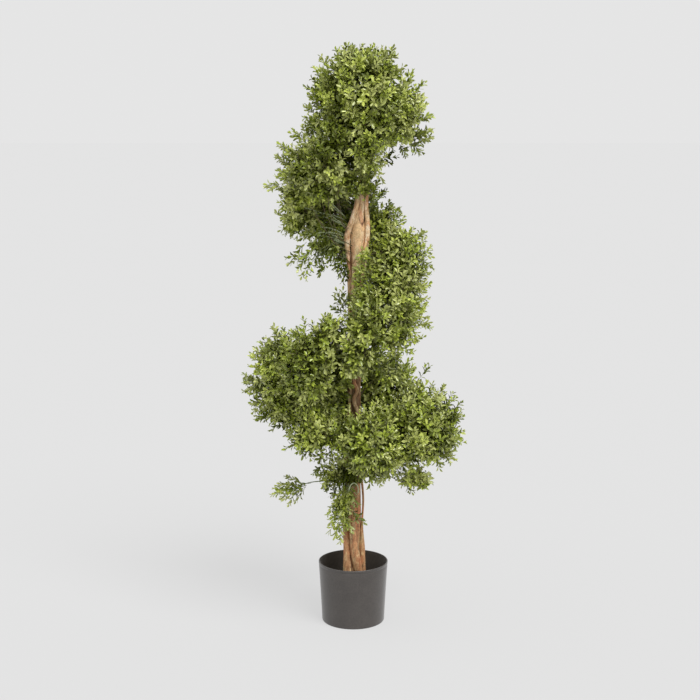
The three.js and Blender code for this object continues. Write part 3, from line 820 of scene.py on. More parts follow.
def bark_relief(around, up, radius, seed, wood):
    """How far the bark stands out, how deep in a groove it is and how pale its flake is, for one
    point given by its way round the stem, its height and the stem's radius."""
    ring = Vector((math.cos(around), math.sin(around), 0)) * (radius / (15 * MM))
    # a few grooves about 15 mm apart that run along the stem for about 100 mm
    along = noise.noise(ring + Vector((seed, 0, up / 0.11)))
    fades = 0.55 + 1.8 * noise.noise(ring + Vector((0, seed, up / 0.05)))
    groove = math.exp(-((along / 0.055) ** 2)) * min(1.0, max(0.0, fades))
    rise = 1 - abs(along)
    # plates of bark about 9 mm wide and 25 mm long, some lifted and some fallen
    spot = Vector((ring.x * 1.3, ring.y * 1.3, up / 0.021 + seed))
    near, points = noise.voronoi(spot)
    edge = min(1.0, (near[1] - near[0]) / 0.16)
    plate = noise.noise(points[0] * 3.7)
    grain = noise.fractal(ring * 5 + Vector((0, 0, up / 0.006 + seed)), 0.9, 2.0, 3)
    out = (
        -wood.ridge * groove
        + 0.35 * wood.ridge * rise
        + wood.flake * (0.55 * plate + 0.3 * edge)
        + 0.12 * MM * grain
    )
    paleness = max(0.0, min(1.0, 0.5 + 0.9 * plate + 0.25 * grain))
    return out, min(1.0, groove + 0.45 * (1 - edge)), paleness


def barked(name, rings, centre_up, radii, seed, wood, material):
    """A mesh of rings of points about a centre line, given the bark's relief."""
    count, sides = rings.shape[:2]
    middle = rings.mean(axis=1, keepdims=True)
    outward = unit(rings - middle)
    grooves, flakes = np.zeros((count, sides)), np.zeros((count, sides))
    for i in range(count):
        for s in range(sides):
            out, grooves[i, s], flakes[i, s] = bark_relief(
                2 * math.pi * s / sides - math.radians(TRUNK_TWIST * centre_up[i] * 1.5),
                centre_up[i], radii[i], seed, wood)
            rings[i, s] += outward[i, s] * (out - 0.3 * wood.ridge) * min(1.0, radii[i] / 0.009)
    quads, ends = ring_faces(count, sides)
    piece = mesh_object(name, rings, [quads, ends], [material])
    for key, values in (("groove", grooves), ("flake", flakes)):
        attribute = piece.data.attributes.new(key, "FLOAT", "POINT")
        attribute.data.foreach_set("value", values.astype(np.float32).ravel())
    return piece


def dried_bark(wood, name, shade, painted_foliage_shade):
    """Natural wood, dried and partly peeled: dull and fibrous, pale where the outer bark has come
    away in flakes, orange-brown lower down and dark in the grooves. A band of painted shade darkens
    it where the foliage covers the trunk."""
    material, tree = fresh_material(name)
    where = add_node(tree, "ShaderNodeTexCoord").outputs["Object"]
    height = add_node(tree, "ShaderNodeSeparateXYZ", {"Vector": where}).outputs["Z"]
    groove, flake = (
        add_node(tree, "ShaderNodeAttribute", attribute_name=key).outputs["Fac"]
        for key in ("groove", "flake"))
    drawn, narrow = (
        add_node(
            tree, "ShaderNodeMapping",
            {"Vector": where, "Scale": (1.0, 1.0, stretch)}).outputs["Vector"]
        for stretch in (0.45, 0.22))
    # stains 24 mm wide and 53 mm long, films of 17 by 38 mm, patches of 10 by 21 mm and crumbs of
    # 3 mm. The fibres are about 0.8 mm wide, and are drawn at 1.6 mm so that they show.
    stain, film, patch, crumb, fibre = (
        add_node(
            tree, "ShaderNodeTexNoise",
            {"Vector": vector, "Scale": scale, "Detail": detail, "Roughness": rough}).outputs["Fac"]
        for vector, scale, detail, rough in (
            (drawn, 42.0, 3.0, 0.5), (drawn, 58.0, 4.0, 0.5), (drawn, 105.0, 5.0, 0.65),
            (where, 300.0, 4.0, 0.7), (narrow, 640.0, 3.0, 0.5)))
    # how thick each coat of colour lies: what it follows, between which values, and its most
    upper, stained, filmed, lifted, worn, sunk, above, below = (
        add_node(
            tree, "ShaderNodeMapRange",
            {"Value": value, "From Min": start, "From Max": end, "To Max": most}).outputs["Result"]
        for value, start, end, most in (
            (height, 0.45, 0.98, 1.0), (stain, 0.50, 0.62, 0.55), (film, 0.55, 0.68, 0.55),
            (flake, 0.42, 0.80, 0.85), (patch, 0.45, 0.60, 1.0), (groove, 0.25, 0.95, 0.9),
            (height, 0.39, 0.47, painted_foliage_shade), (height, 0.94, 0.86, 1.0)))
    # peeled where a lifted flake is worn, and painted shade from one height to another, where the
    # foliage covers the trunk and shades it
    peeled, foliage_shaded = (
        add_node(tree, "ShaderNodeMath", {0: one, 1: other}, operation="MULTIPLY").outputs["Value"]
        for one, other in ((lifted, worn), (above, below)))
    pale = add_node(
        tree, "ShaderNodeMix",
        {"Factor": upper, "A": rgba(wood.pale_low), "B": rgba(wood.pale_high)},
        data_type="RGBA").outputs["Result"]
    patches, crumbs, fibres = (
        add_node(tree, "ShaderNodeValToRGB", {"Fac": pattern}, stops=stops).outputs["Color"]
        for pattern, stops in (
            (patch, [
                (0.3, (0.60, 0.50, 0.42, 1)), (0.48, grey(1.0)), (0.68, (1.16, 1.16, 1.12, 1))]),
            (crumb, [
                (0.34, (0.55, 0.46, 0.40, 1)), (0.46, grey(1.0)), (0.66, (1.12, 1.12, 1.08, 1))]),
            (fibre, [(0.3, grey(0.8)), (0.65, grey(1.1))])))
    base = rgba([c * shade for c in wood.low_bark])
    for factor, colour, blend in (
        (upper, rgba([c * shade for c in wood.high_bark]), "MIX"),
        (stained, rgba(wood.stain), "MIX"),
        (filmed, rgba(wood.film), "MIX"),
        (1.0, patches, "MULTIPLY"),
        (peeled, pale, "MIX"),
        (1.0, crumbs, "MULTIPLY"),
        (1.0, fibres, "MULTIPLY"),
        (sunk, rgba(wood.groove), "MIX"),
        # painted shade where the foliage covers the trunk
        (foliage_shaded, rgba(wood.painted_foliage_shade), "MIX"),
    ):
        base = add_node(
            tree, "ShaderNodeMix", {"Factor": factor, "A": base, "B": colour},
            data_type="RGBA", blend_type=blend).outputs["Result"]
    rough = add_node(tree, "ShaderNodeMapRange", {"Value": patch, "To Min": 0.66, "To Max": 0.88})
    bump = add_node(tree, "ShaderNodeBump", {"Height": crumb, "Strength": 0.6, "Distance": 0.0008})
    shader = add_node(
        tree, "ShaderNodeBsdfPrincipled",
        {"Base Color": base, "Roughness": rough.outputs["Result"],
         "Normal": bump.outputs["Normal"]})
    add_node(tree, "ShaderNodeOutputMaterial", {"Surface": shader.outputs["BSDF"]})
    return material


class TOPIARY_OT_wood(bpy.types.Operator):
    """Make the wood stem with its bark, and the three lianas that wind up it"""

    bl_idname = "topiary.wood"
    bl_label = "Trunk and lianas"

    def execute(self, context):
        wood = context.scene.topiary_wood
        # the trunk takes the painted foliage shade at 0.62; the lianas below take none
        bark = dried_bark(wood, "natural wood stem, dried and peeled", 1.0, 0.62)
        z = np.arange(TRUNK[0][2], TRUNK[-1][2], BARK_STEP)
        centre, radius = trunk_at(z)
        azimuth = 2 * np.pi * np.arange(TRUNK_SIDES) / TRUNK_SIDES
        twist = np.radians(TRUNK_TWIST * z / 1000)[:, None]
        reach = radius[:, None] * (1 + LOBE * np.cos(3 * (azimuth - twist)))
        rings = np.repeat(centre[:, None, :], TRUNK_SIDES, axis=1)
        rings[:, :, 0] += reach * np.cos(azimuth)
        rings[:, :, 1] += reach * np.sin(azimuth)
        piece = barked("trunk_bark", rings, z * MM, radius, 1.7, wood, bark)
        seat(piece, "bark", "trunk")

        vine = dried_bark(wood, "natural liana, dried", 0.96, 0.0)
        for k, (name, stations) in enumerate(LIANAS.items()):
            count = int((stations[-1][0] - stations[0][0]) / BARK_STEP)
            path, thick = liana_path(name, count)
            # a liana swells and narrows a little as it grows
            swell = [1 + 0.10 * noise.noise(Vector((3.1 * k, 0, p[2] * 22))) for p in path]
            points, _, _ = tubes(path[None], (thick * swell)[None], LIANA_SIDES)
            rings = points.reshape(count, LIANA_SIDES, 3)
            piece = barked(f"{name}_bark", rings, path[:, 2], thick, 11.3 + 5 * k, wood, vine)
            seat(piece, "bark", name)
        return {"FINISHED"}


# ---- stems and leaves ----
def coated_stem(colour, name):
    """Steel wire coated in polyethylene: a dull grey-green with a faint waxy sheen. It is one
    plain colour, as the coating is."""
    material, tree = fresh_material(name)
    shader = add_node(
        tree, "ShaderNodeBsdfPrincipled",
        {"Base Color": rgba(colour), "Roughness": 0.55, "IOR": 1.51})
    add_node(tree, "ShaderNodeOutputMaterial", {"Surface": shader.outputs["BSDF"]})
    return material


def moulded_leaf(colour, name, shine):
    """Leaves moulded in polyethylene: waxy on their faces, with a soft whitish shine that the
    dusty inner leaves lack. Each shade is one plain colour, and they are dealt out by spray."""
    material, tree = fresh_material(name)
    shader = add_node(
        tree, "ShaderNodeBsdfPrincipled",
        {"Base Color": rgba(colour), "Roughness": 0.52 - 0.24 * shine, "IOR": 1.51,
         "Specular IOR Level": 0.12 + 0.50 * shine})
    add_node(tree, "ShaderNodeOutputMaterial", {"Surface": shader.outputs["BSDF"]})
    return material


def leaf_shades(foliage):
    """The nine leaf materials, made once: six from the deepest to the tips' own, then the greener
    twins of the last three."""
    kinds = [
        ("deepest", "shade_1", 0.0), ("inner", "shade_2", 0.25), ("older", "shade_3", 0.7),
        ("surface", "shade_4", 1.0), ("young", "shade_5", 1.0), ("tip", "shade_6", 1.0),
        ("surface, fresh", "fresh_4", 0.9), ("young, fresh", "fresh_5", 0.9),
        ("tip, fresh", "fresh_6", 0.9),
    ]
    shades = []
    for word, setting, shine in kinds:
        name = f"moulded polyethylene leaf, {word}"
        made = bpy.data.materials.get(name)
        shades.append(made or moulded_leaf(getattr(foliage, setting), name, shine))
    return shades


def stem_material(foliage, kind):
    """The coating of the stems, of the twigs inside the masses or of the thin bare wires."""
    colour, look = {
        "stem": (foliage.stem, "grey green"),
        "twig": (foliage.twig_colour, "olive brown"),
        "wire": (foliage.wire, "pale grey green"),
    }[kind]
    name = f"coated wire {kind}, {look}"
    return bpy.data.materials.get(name) or coated_stem(colour, name)


class Growth:
    """Collects the leaves and stems of one piece until they are joined into meshes."""

    def __init__(self, rng, foliage):
        self.rng, self.foliage = rng, foliage
        self.leaf_points, self.leaf_faces, self.leaf_shade = [], [], []
        self.stem_points, self.stem_quads, self.stem_ends = [], [], []
        self.leaf_count = self.stem_count = 0

    def add_stems(self, paths, radii, sides):
        """Round tapering stems along many paths at once."""
        points, quads, ends = tubes(paths, radii, sides)
        self.stem_points.append(points)
        self.stem_quads.append(quads + self.stem_count)
        self.stem_ends.append(ends + self.stem_count)
        self.stem_count += len(points)

    def add_leaves(self, foot, along, across, up, size, shade, inner):
        """One leaf for each row: where its foot is, its three directions, size and shade."""
        outline, faces = (INNER_LEAF, INNER_LEAF_FACES) if inner else (LEAF, LEAF_FACES)
        curl = self.rng.uniform(0.3, 1.7, (len(foot), 1, 1))
        points = (
            foot[:, None, :]
            + size[:, None, None] * (
                outline[None, :, 0:1] * along[:, None, :]
                + outline[None, :, 1:2] * across[:, None, :]
                + curl * outline[None, :, 2:3] * up[:, None, :]
            )
        )
        step = (np.arange(len(foot)) * len(outline))[:, None, None]
        self.leaf_points.append(points.reshape(-1, 3))
        self.leaf_faces.append((faces[None] + step).reshape(-1, 3) + self.leaf_count)
        self.leaf_shade.append(np.repeat(shade, len(faces)))
        self.leaf_count += points.shape[0] * points.shape[1]

    def add_sprigs(
            self, base, tip, heading, pairs, leaf_scale, shade, leafy, inner=False, opening=1.0):
        """Sprigs from base to tip that arrive in their heading, with opposite pairs of leaves,
        each pair turned a quarter from the last. Leafy is how much of the sprig bears leaves, and
        opening how far the leaves open from their stem."""
        rng, foliage = self.rng, self.foliage
        n = len(tip)
        reach = np.linalg.norm(tip - base, axis=1)
        control = tip - heading * (0.55 * reach)[:, None]
        self.add_stems(bows(base, control, tip, 5), graded(*SPRIG_RADII, 5, n) * MM, 3)
        helper = unit(rng.normal(size=(n, 3)))
        phase = rng.uniform(0, 2 * np.pi, n)
        size_of = rng.uniform(0.86, 1.14, n) * leaf_scale
        fresh_sprig = rng.random(n) < foliage.fresh_share
        for k in range(pairs):
            opens, size = PAIRS[min(k, len(PAIRS) - 1)]
            down = (1.2 * MM + foliage.pair_gap * k * size_of) * rng.uniform(0.94, 1.06, n)
            t = 1 - down / np.maximum(reach * 1.04, 1e-6)
            on = t > 1 - leafy
            if not on.any():
                continue
            t = np.clip(t, 0.0, 1.0)
            point = bow(base, control, tip, t)
            ahead = unit((1 - t)[:, None] * (control - base) + t[:, None] * (tip - control))
            one = unit(np.cross(ahead, helper))
            two = np.cross(ahead, one)
            for side in (0, np.pi):
                turn = phase + k * np.pi / 2 + side + rng.normal(0, 0.16, n)
                lean = np.radians(opening * (opens + rng.normal(0, 12, n)))
                out = one * np.cos(turn)[:, None] + two * np.sin(turn)[:, None]
                along = ahead * np.cos(lean)[:, None] + out * np.sin(lean)[:, None]
                up = ahead * np.sin(lean)[:, None] - out * np.cos(lean)[:, None]
                roll = rng.normal(0, 0.42, n)[:, None]
                across = np.cross(up, along)
                across, up = (
                    across * np.cos(roll) + up * np.sin(roll),
                    up * np.cos(roll) - across * np.sin(roll))
                length = foliage.leaf * size * size_of * rng.uniform(0.88, 1.12, n)
                fresh = (1 if k < 2 else 0) - (1 if k > 4 else 0)
                tone = np.clip(shade + fresh + rng.choice([-1, 0, 0, 0, 1], n), 0, 5)
                tone = tone + np.where(fresh_sprig & (tone > 2), 3, 0)
                foot = point + out * 0.5 * MM
                self.add_leaves(
                    foot[on], along[on], across[on], up[on], length[on], tone[on].astype(int),
                    inner)

    def add_fronds(self, fronds, leaf_scale, opening):
        """Loose fronds that sag from start to end, with side sprigs to both sides."""
        base, tip, heading, tone = [], [], [], []
        for start, end, shoots, shade in fronds:
            start, end = np.array(start) * MM, np.array(end) * MM
            line = end - start
            reach = np.linalg.norm(line)
            way = line / reach
            base.append(start)
            tip.append(end)
            heading.append(way)
            tone.append(shade)
            flat = unit(np.cross(way, [0, 1, 0]) + self.rng.normal(0, 0.25, 3))
            for k in range(shoots):
                at = 0.12 + 0.58 * (k + self.rng.uniform(0.2, 0.8)) / shoots
                sign = 1 if k % 2 else -1
                lean = math.radians(self.rng.uniform(22, 38))
                out = unit(flat * sign + 0.5 * self.rng.normal(size=3))
                out = unit(out - way * (out @ way))
                aim = way * math.cos(lean) + out * math.sin(lean)
                base.append(start + line * at)
                length = reach * (0.58 - 0.36 * at)
                tip.append(base[-1] + aim * length * self.rng.uniform(0.8, 1.15))
                heading.append(unit(aim + 0.35 * way))
                tone.append(shade + self.rng.choice([-1, 0, 0]))
        self.add_sprigs(
            np.array(base), np.array(tip), np.array(heading), 14, leaf_scale, np.array(tone), 0.88,
            opening=opening)

    def finish(self, leaves_name, twigs_name, *nodes, kind):
        """Joins the leaves into one piece and the stems into another."""
        shades = leaf_shades(self.foliage)
        piece = mesh_object(
            leaves_name, np.concatenate(self.leaf_points), [np.concatenate(self.leaf_faces)],
            shades, np.concatenate(self.leaf_shade))
        seat(piece, "foliage", *nodes)
        piece = mesh_object(
            twigs_name, np.concatenate(self.stem_points),
            [np.concatenate(self.stem_quads), np.concatenate(self.stem_ends)],
            [stem_material(self.foliage, kind)])
        seat(piece, "stem", *nodes)


def solid_arrays(node):
    """A CAD node's welded corners, triangles and smooth outward directions."""
    mesh = NODES[node].data
    mesh.calc_loop_triangles()
    points = np.zeros(len(mesh.vertices) * 3)
    mesh.vertices.foreach_get("co", points)
    points = points.reshape(-1, 3)
    faces = np.zeros(len(mesh.loop_triangles) * 3, np.int32)
    mesh.loop_triangles.foreach_get("vertices", faces)
    faces = faces.reshape(-1, 3)
    # corners within a hundredth of a millimetre are one
    _, first, weld = np.unique(
        np.round(points * 1e5).astype(np.int64), axis=0, return_index=True, return_inverse=True)
    points, faces = points[first], weld.reshape(-1)[faces]
    a, b, c = (points[faces[:, k]] for k in range(3))
    normal = np.cross(b - a, c - a)
    smooth = np.zeros_like(points)
    for k in range(3):
        np.add.at(smooth, faces[:, k], normal)
    return points, faces, normal, unit(smooth)


def bvh_of(nodes):
    """One search tree over several solids, with the number of each triangle's node."""
    points, faces, owner = [], [], []
    for i, node in enumerate(nodes):
        p, f, _, _ = solid_arrays(node)
        faces.append(f + sum(len(q) for q in points))
        points.append(p)
        owner += [i] * len(f)
    tree = BVHTree.FromPolygons(np.concatenate(points).tolist(), np.concatenate(faces).tolist())
    return tree, owner


def surface_samples(rng, node, density):
    """Random points all over a solid, with its smooth outward direction at each."""
    points, faces, normal, smooth = solid_arrays(node)
    area = np.linalg.norm(normal, axis=1) / 2
    count = int(area.sum() * density)
    pick = rng.choice(len(faces), count, p=area / area.sum())
    a, b = np.sqrt(rng.random(count)), rng.random(count)
    weights = np.stack([1 - a, a * (1 - b), a * b], -1)[..., None]
    corners = faces[pick]
    return (points[corners] * weights).sum(1), unit((smooth[corners] * weights).sum(1))


def thinned(rng, points, spacing):
    """The numbers of points that stand at least their spacing from each other."""
    kept, places = [], np.zeros((len(points), 3))
    for i in rng.permutation(len(points)):
        near = places[:len(kept)] - points[i]
        if len(kept) == 0 or (near * near).sum(1).min() > spacing[i] ** 2:
            places[len(kept)] = points[i]
            kept.append(i)
    return np.array(kept, int)


def clumps(points, scale, seed):
    """Slow noise, about -1 to 1, that makes the foliage lumpy."""
    return np.array([noise.noise(Vector(p) * scale + Vector((seed, 0, 0))) for p in points]) * 1.6


def nearest(points, places):
    """For each point, the number of the nearest place."""
    return ((points[:, None, :] - places[None, :, :]) ** 2).sum(-1).argmin(1)


def gap_to(points, places):
    """How far each point is from the nearest place."""
    return np.sqrt(((points[:, None, :] - places[None, :, :]) ** 2).sum(-1).min(1))


def free_of(points, neighbours, reach):
    """Whether each point is clear of every solid but its own."""
    tree, owner, own = neighbours
    return np.array([
        not any(owner[hit[2]] != own for hit in tree.find_nearest_range(Vector(p), reach))
        for p in points
    ], bool)


def inside_points(rng, node, spacing):
    """Evenly scattered random points inside a solid."""
    points, faces, _, _ = solid_arrays(node)
    shell = BVHTree.FromPolygons(points.tolist(), faces.tolist())
    low, high = points.min(0), points.max(0)
    spots = rng.uniform(low, high, (int(np.prod(high - low) * 5 / spacing**3), 3))
    kept = []
    for p in spots:
        on, outward, _, _ = shell.find_nearest(Vector(p))
        kept.append((Vector(p) - on).dot(outward) < 0)
    return spots[np.array(kept, bool)]


def through_a_gap(points):
    """Whether each point lies in one of the gaps that light shows through."""
    hit = np.zeros(len(points), bool)
    for front, back, radius in GAPS:
        front, back = np.array(front) * MM, np.array(back) * MM
        line = back - front
        t = np.clip(((points - front) @ line) / (line @ line), 0, 1)
        hit |= np.linalg.norm(points - front - t[:, None] * line, axis=1) < radius * MM
    return hit


def patches_at(points):
    """How much further apart the sprigs stand at each point, and the change of their shade, which
    is painted light and shade.
    """
    further, painted_light = np.ones(len(points)), np.zeros(len(points))
    for middle, radius, apart, shade in PATCHES:
        near = np.linalg.norm(points - np.array(middle) * MM, axis=1) < radius * MM
        further[near], painted_light[near] = apart, shade
    return further, painted_light


def core_spots(rng, node, spacing, depth, skin):
    """Random points deep under a mass's skin and clear of the trunk, and which way is out."""
    spots = inside_points(rng, node, spacing)
    spots = spots[gap_to(spots, skin) > depth]
    outward = spots - axis_at(spots)
    clear = np.linalg.norm(outward, axis=1) > TRUNK_CLEAR * MM
    return spots[clear], unit(outward[clear])


def mass_tips(rng, node, foliage, neighbours):
    """Where the sprigs of a mass end, which way is out at each, and the layer each belongs to."""
    skin, _ = surface_samples(rng, node, 1 / (9 * MM) ** 2)
    skin = skin[free_of(skin, neighbours, 4 * MM)]
    tips, facing, layers = [], [], []
    for layer, (shallow, deep, spacing, _, _, _) in enumerate(LAYERS):
        if layer == CORE:
            spots, outward = core_spots(rng, node, spacing * MM, shallow * MM, skin)
            if len(spots) == 0:
                continue
        else:
            # seven times as many as are kept, so that they end up evenly apart
            spots, outward = surface_samples(rng, node, 7 / (spacing * MM * foliage.spread) ** 2)
            free = free_of(spots, neighbours, 3 * MM)
            spots, outward = spots[free], outward[free]
        lumps = clumps(spots, 17, 3.3)
        gap = spacing * MM * foliage.spread * (1 - 0.15 * lumps)
        further, _ = patches_at(spots)
        keep = thinned(rng, spots, gap * (further if layer == SKIN else np.sqrt(further)))
        spots, outward, lumps = spots[keep], outward[keep], lumps[keep]
        if layer != CORE:
            depth = rng.uniform(shallow, deep, len(spots)) - 5.5 * lumps + INSET.get(node, 0)
            spots = spots - outward * depth[:, None] * MM
        tips.append(spots)
        facing.append(outward)
        layers.append(np.full(len(spots), layer))
    return np.concatenate(tips), np.concatenate(facing), np.concatenate(layers)


def gather_sprays(rng, tips, facing, layers):
    """Gathers sprigs into sprays of about six, which lean together and share a fork. Gives the
    sprigs' tips and headings, each one's spray, and each spray's brightness and fork."""
    outer = np.flatnonzero(layers == SKIN)
    seeds = outer[thinned(rng, tips[outer], np.full(len(outer), SPRAY * MM))]
    spray = nearest(tips, tips[seeds])
    members = [np.flatnonzero((spray == i) & (layers == SKIN)) for i in range(len(seeds))]
    raised = rng.normal(0, 8 * MM, len(seeds))
    brightness = rng.normal(0, 0.6, len(seeds))
    way = np.array([unit(facing[m].mean(0)) for m in members])
    middle = np.array([tips[m].mean(0) for m in members])

    # a sprig in seven reaches on past the others
    onward = np.zeros(len(tips))
    onward[outer] = np.where(
        rng.random(len(outer)) < 0.15, rng.uniform(7, 24, len(outer)) * MM, 0)
    together = np.where(layers == SKIN, 0.15, 0)[:, None]
    lean = (middle[spray] - tips) * together + way[spray] * raised[spray][:, None]
    tips = tips + (layers != CORE)[:, None] * lean
    headings = unit(
        0.75 * facing + 0.35 * way[spray] + [0, 0, 0.36] + 0.38 * rng.normal(size=facing.shape))
    tips = tips + headings * onward[:, None]
    low, high = np.array(CAD_BOX)
    tips = np.clip(tips, low - np.array(PAST_LOW) * MM, high + np.array(PAST_HIGH) * MM)

    turn = rng.normal(size=(len(seeds), 3)) * 6 * MM
    fork = np.array([(tips[m] - headings[m] * SPRIG_REACH * MM).mean(0) for m in members]) + turn
    return tips, headings, spray, brightness, fork


def grow_limbs(growth, fork):
    """Grows boughs from the trunk to a few heads inside a mass, and a twig from the nearest bough
    to each fork. Gives the roots of the twigs."""
    rng, foliage = growth.rng, growth.foliage
    inward = fork + (axis_at(fork) - fork) * 0.30
    end = inward[thinned(rng, inward, np.full(len(inward), BOUGHS_APART * MM))]
    sideways = np.linalg.norm((end - axis_at(end))[:, :2], axis=1)
    start_z = end[:, 2] - 0.55 * sideways + rng.normal(0, 6 * MM, len(end))
    start, _ = trunk_at(np.clip(start_z, 0.4, 1.335) / MM)
    lift = np.linalg.norm(end - start, axis=1)
    bend = start + (end - start) * 0.45 + np.array([0, 0, 0.22]) * lift[:, None]
    boughs = bows(start, bend, end, 9)
    growth.add_stems(boughs, graded(1, LIMB_TAPER, 9, len(end)) * foliage.bough, 6)

    # twigs leave the outer half of a bough, and those are its five joints
    joints = boughs[:, 4:].reshape(-1, 3)
    leaving = unit(np.gradient(boughs, axis=1))[:, 4:].reshape(-1, 3)
    pull = fork - (fork - joints[nearest(fork, end) * 5 + 2]) * 0.4
    chosen = nearest(pull, joints)
    root = joints[chosen]
    length = np.linalg.norm(fork - root, axis=1, keepdims=True)
    twigs = bows(root, root + leaving[chosen] * length * 0.4, fork, 6)
    growth.add_stems(twigs, graded(1, LIMB_TAPER, 6, len(fork)) * foliage.twig, 4)
    return root


def grow_mass(node, number, foliage, neighbours):
    """Grows one mass: boughs leave the trunk and fork into twigs, and the twigs into leafy sprigs
    whose tips fill the solid's outline."""
    rng = np.random.default_rng([foliage.seed, number])
    growth = Growth(rng, foliage)
    tips, facing, layers = mass_tips(rng, node, foliage, neighbours)
    tips, headings, spray, brightness, fork = gather_sprays(rng, tips, facing, layers)
    root = grow_limbs(growth, fork)
    keep = ~through_a_gap(tips)
    _, painted_light = patches_at(tips)
    # painted light: sprigs that face up take brighter shades and those that face down darker ones;
    # the clumps add a slow random tone, and the patches their painted light and shade
    lit = 0.2 * np.clip(facing[:, 2], -1, 0.6) + 0.35 * clumps(tips, 9, 8.8) + painted_light
    for layer, (_, _, _, leaf_scale, pairs, shade) in enumerate(LAYERS):
        mine = (layers == layer) & keep
        if not mine.any():
            continue
        base = fork[spray[mine]]
        if layer != SKIN:
            # the deeper sprigs leave the twig lower down
            base = base + (root[spray[mine]] - base) * (0.25 * layer)
        tone = np.round(
            shade + lit[mine] + brightness[spray[mine]] + rng.normal(0, 0.5, len(base)))
        growth.add_sprigs(
            base, tips[mine], headings[mine], pairs, leaf_scale, tone, 0.93, inner=layer == CORE)
    kind, tail = node.split("_foliage")
    growth.finish(f"{kind}_leaves{tail}", f"{kind}_twigs{tail}", node, kind="twig")


class TOPIARY_OT_foliage(bpy.types.Operator):
    """Grow every mass of the spiral and the crown from the trunk: boughs, twigs and leafy sprigs"""

    bl_idname = "topiary.foliage"
    bl_label = "Spiral and crown"

    def execute(self, context):
        foliage = context.scene.topiary_foliage
        solids = MASSES + [n for n in NODES if n not in (*MASSES, "pot", "cement_filling")]
        tree, owner = bvh_of(solids)
        for number, node in enumerate(MASSES):
            grow_mass(node, number, foliage, (tree, owner, number))
        return {"FINISHED"}


class TOPIARY_OT_stems(bpy.types.Operator):
    """Make the moulded stems that stand clear of the spiral, and the loose fronds on them"""

    bl_idname = "topiary.stems"
    bl_label = "Stems and fronds"

    def execute(self, context):
        foliage = context.scene.topiary_foliage
        for number, (name, points) in enumerate(STEMS.items()):
            self.stem(name, np.array(points) * MM, number, foliage)
        for number, (name, fronds) in enumerate(FRONDS.items()):
            growth = Growth(np.random.default_rng([foliage.seed, 100 + number]), foliage)
            lone = name == "stray_spray"
            growth.add_fronds(fronds, 0.9 if lone else 1.0, 0.66 if lone else 0.9)
            hangs = name == "hanging_spray"
            if hangs:
                curl = smooth_path(np.array(CURL) * MM, 40)
                growth.add_stems(curl[None], np.full((1, 40), 1.4 * MM), 8)
            nodes = [f"{name}_foliage"] if f"{name}_foliage" in NODES else []
            growth.finish(
                f"{name}_fronds", f"{name}_frond_twigs", *nodes, kind="wire" if hangs else "stem")
        self.fan(foliage)
        return {"FINISHED"}

    def stem(self, name, points, number, foliage):
        """A bundle of thin coated strands that part towards the end of the stem."""
        rng = np.random.default_rng([foliage.seed, 150 + number])
        count, strands = 40, {"stray_spray": 1, "hanging_spray": 3}.get(name, 2)
        path = smooth_path(points, count)
        t = np.linspace(0, 1, count)
        part = unit(rng.normal(size=(strands, 3))) * (0 if strands == 1 else 15 * MM)
        paths = path[None] + part[:, None, :] * (t**1.6)[None, :, None]
        if name.startswith("upper"):
            # they leave the trunk beside the liana, not over it
            aside = np.exp(-(((t - 0.28) / 0.2) ** 2))[None, :, None]
            paths = paths + np.array([-9, 13, 0]) * MM * aside
        if strands > 1:
            paths = paths + unit(part)[:, None, :] * 0.8 * MM
        thick, thin = STEM_RADII
        radii = (thick + (thin - thick) * t) * MM * (1 if strands == 1 else 0.5)
        # a low knuckle every 12 mm or so, where leaves were moulded on
        length = np.linalg.norm(np.diff(path, axis=0), axis=1).sum()
        knuckles = np.exp(-((((t * length / 0.012) % 1) - 0.5) / 0.09) ** 2)
        radii = (radii * (1 + 0.16 * knuckles))[None].repeat(strands, 0)
        corners, quads, ends = tubes(paths, radii, 8)
        coating = stem_material(foliage, "twig" if "bough" in name else "stem")
        piece = mesh_object(f"{name}_wire", corners, [quads, ends], [coating])
        seat(piece, "stem", f"{name}_stem")

    def fan(self, foliage):
        """Thin bare wires that spread from the stem to the underside of the upper left mass,
        leafy only towards their ends."""
        rng = np.random.default_rng([foliage.seed, 200])
        growth = Growth(rng, foliage)
        n = foliage.wires
        t = np.sort(rng.random(n))
        start = np.stack([rng.uniform(-22, -13, n), rng.uniform(0, 9, n), 984 + 90 * t], -1) * MM
        rise = np.radians(14 + 20 * t + rng.normal(0, 9, n))
        length = rng.uniform(60, 124, n)
        end = start + np.stack([
            -length * np.cos(rise), -rng.uniform(44, 96, n), length * np.sin(rise)], -1) * MM
        heading = unit(end - start + [0, 0, -0.012])
        tone = 1 + np.round(rng.normal(0, 0.6, n))
        growth.add_sprigs(start, end, heading, 12, 0.95, tone, 0.5, opening=0.55)
        middle = (start + end) / 2 + [0, -0.006, 0.012]
        radii = graded(*WIRE_RADII, 9, n) * rng.uniform(0.7, 1.3, (n, 1)) * MM
        growth.add_stems(bows(start, middle, end, 9), radii, 6)
        growth.finish("wire_fan_leaves", "wire_fan", kind="wire")


# ---- the studio ----
# The camera's place in metres, how many degrees it looks down, and the floor's rings in metres.
CAMERA_AT = (-0.0085, -3.3, 1.265)
CAMERA_DOWN = 9.27
FLOOR_RADII = (0.3, 3, 40, 400)


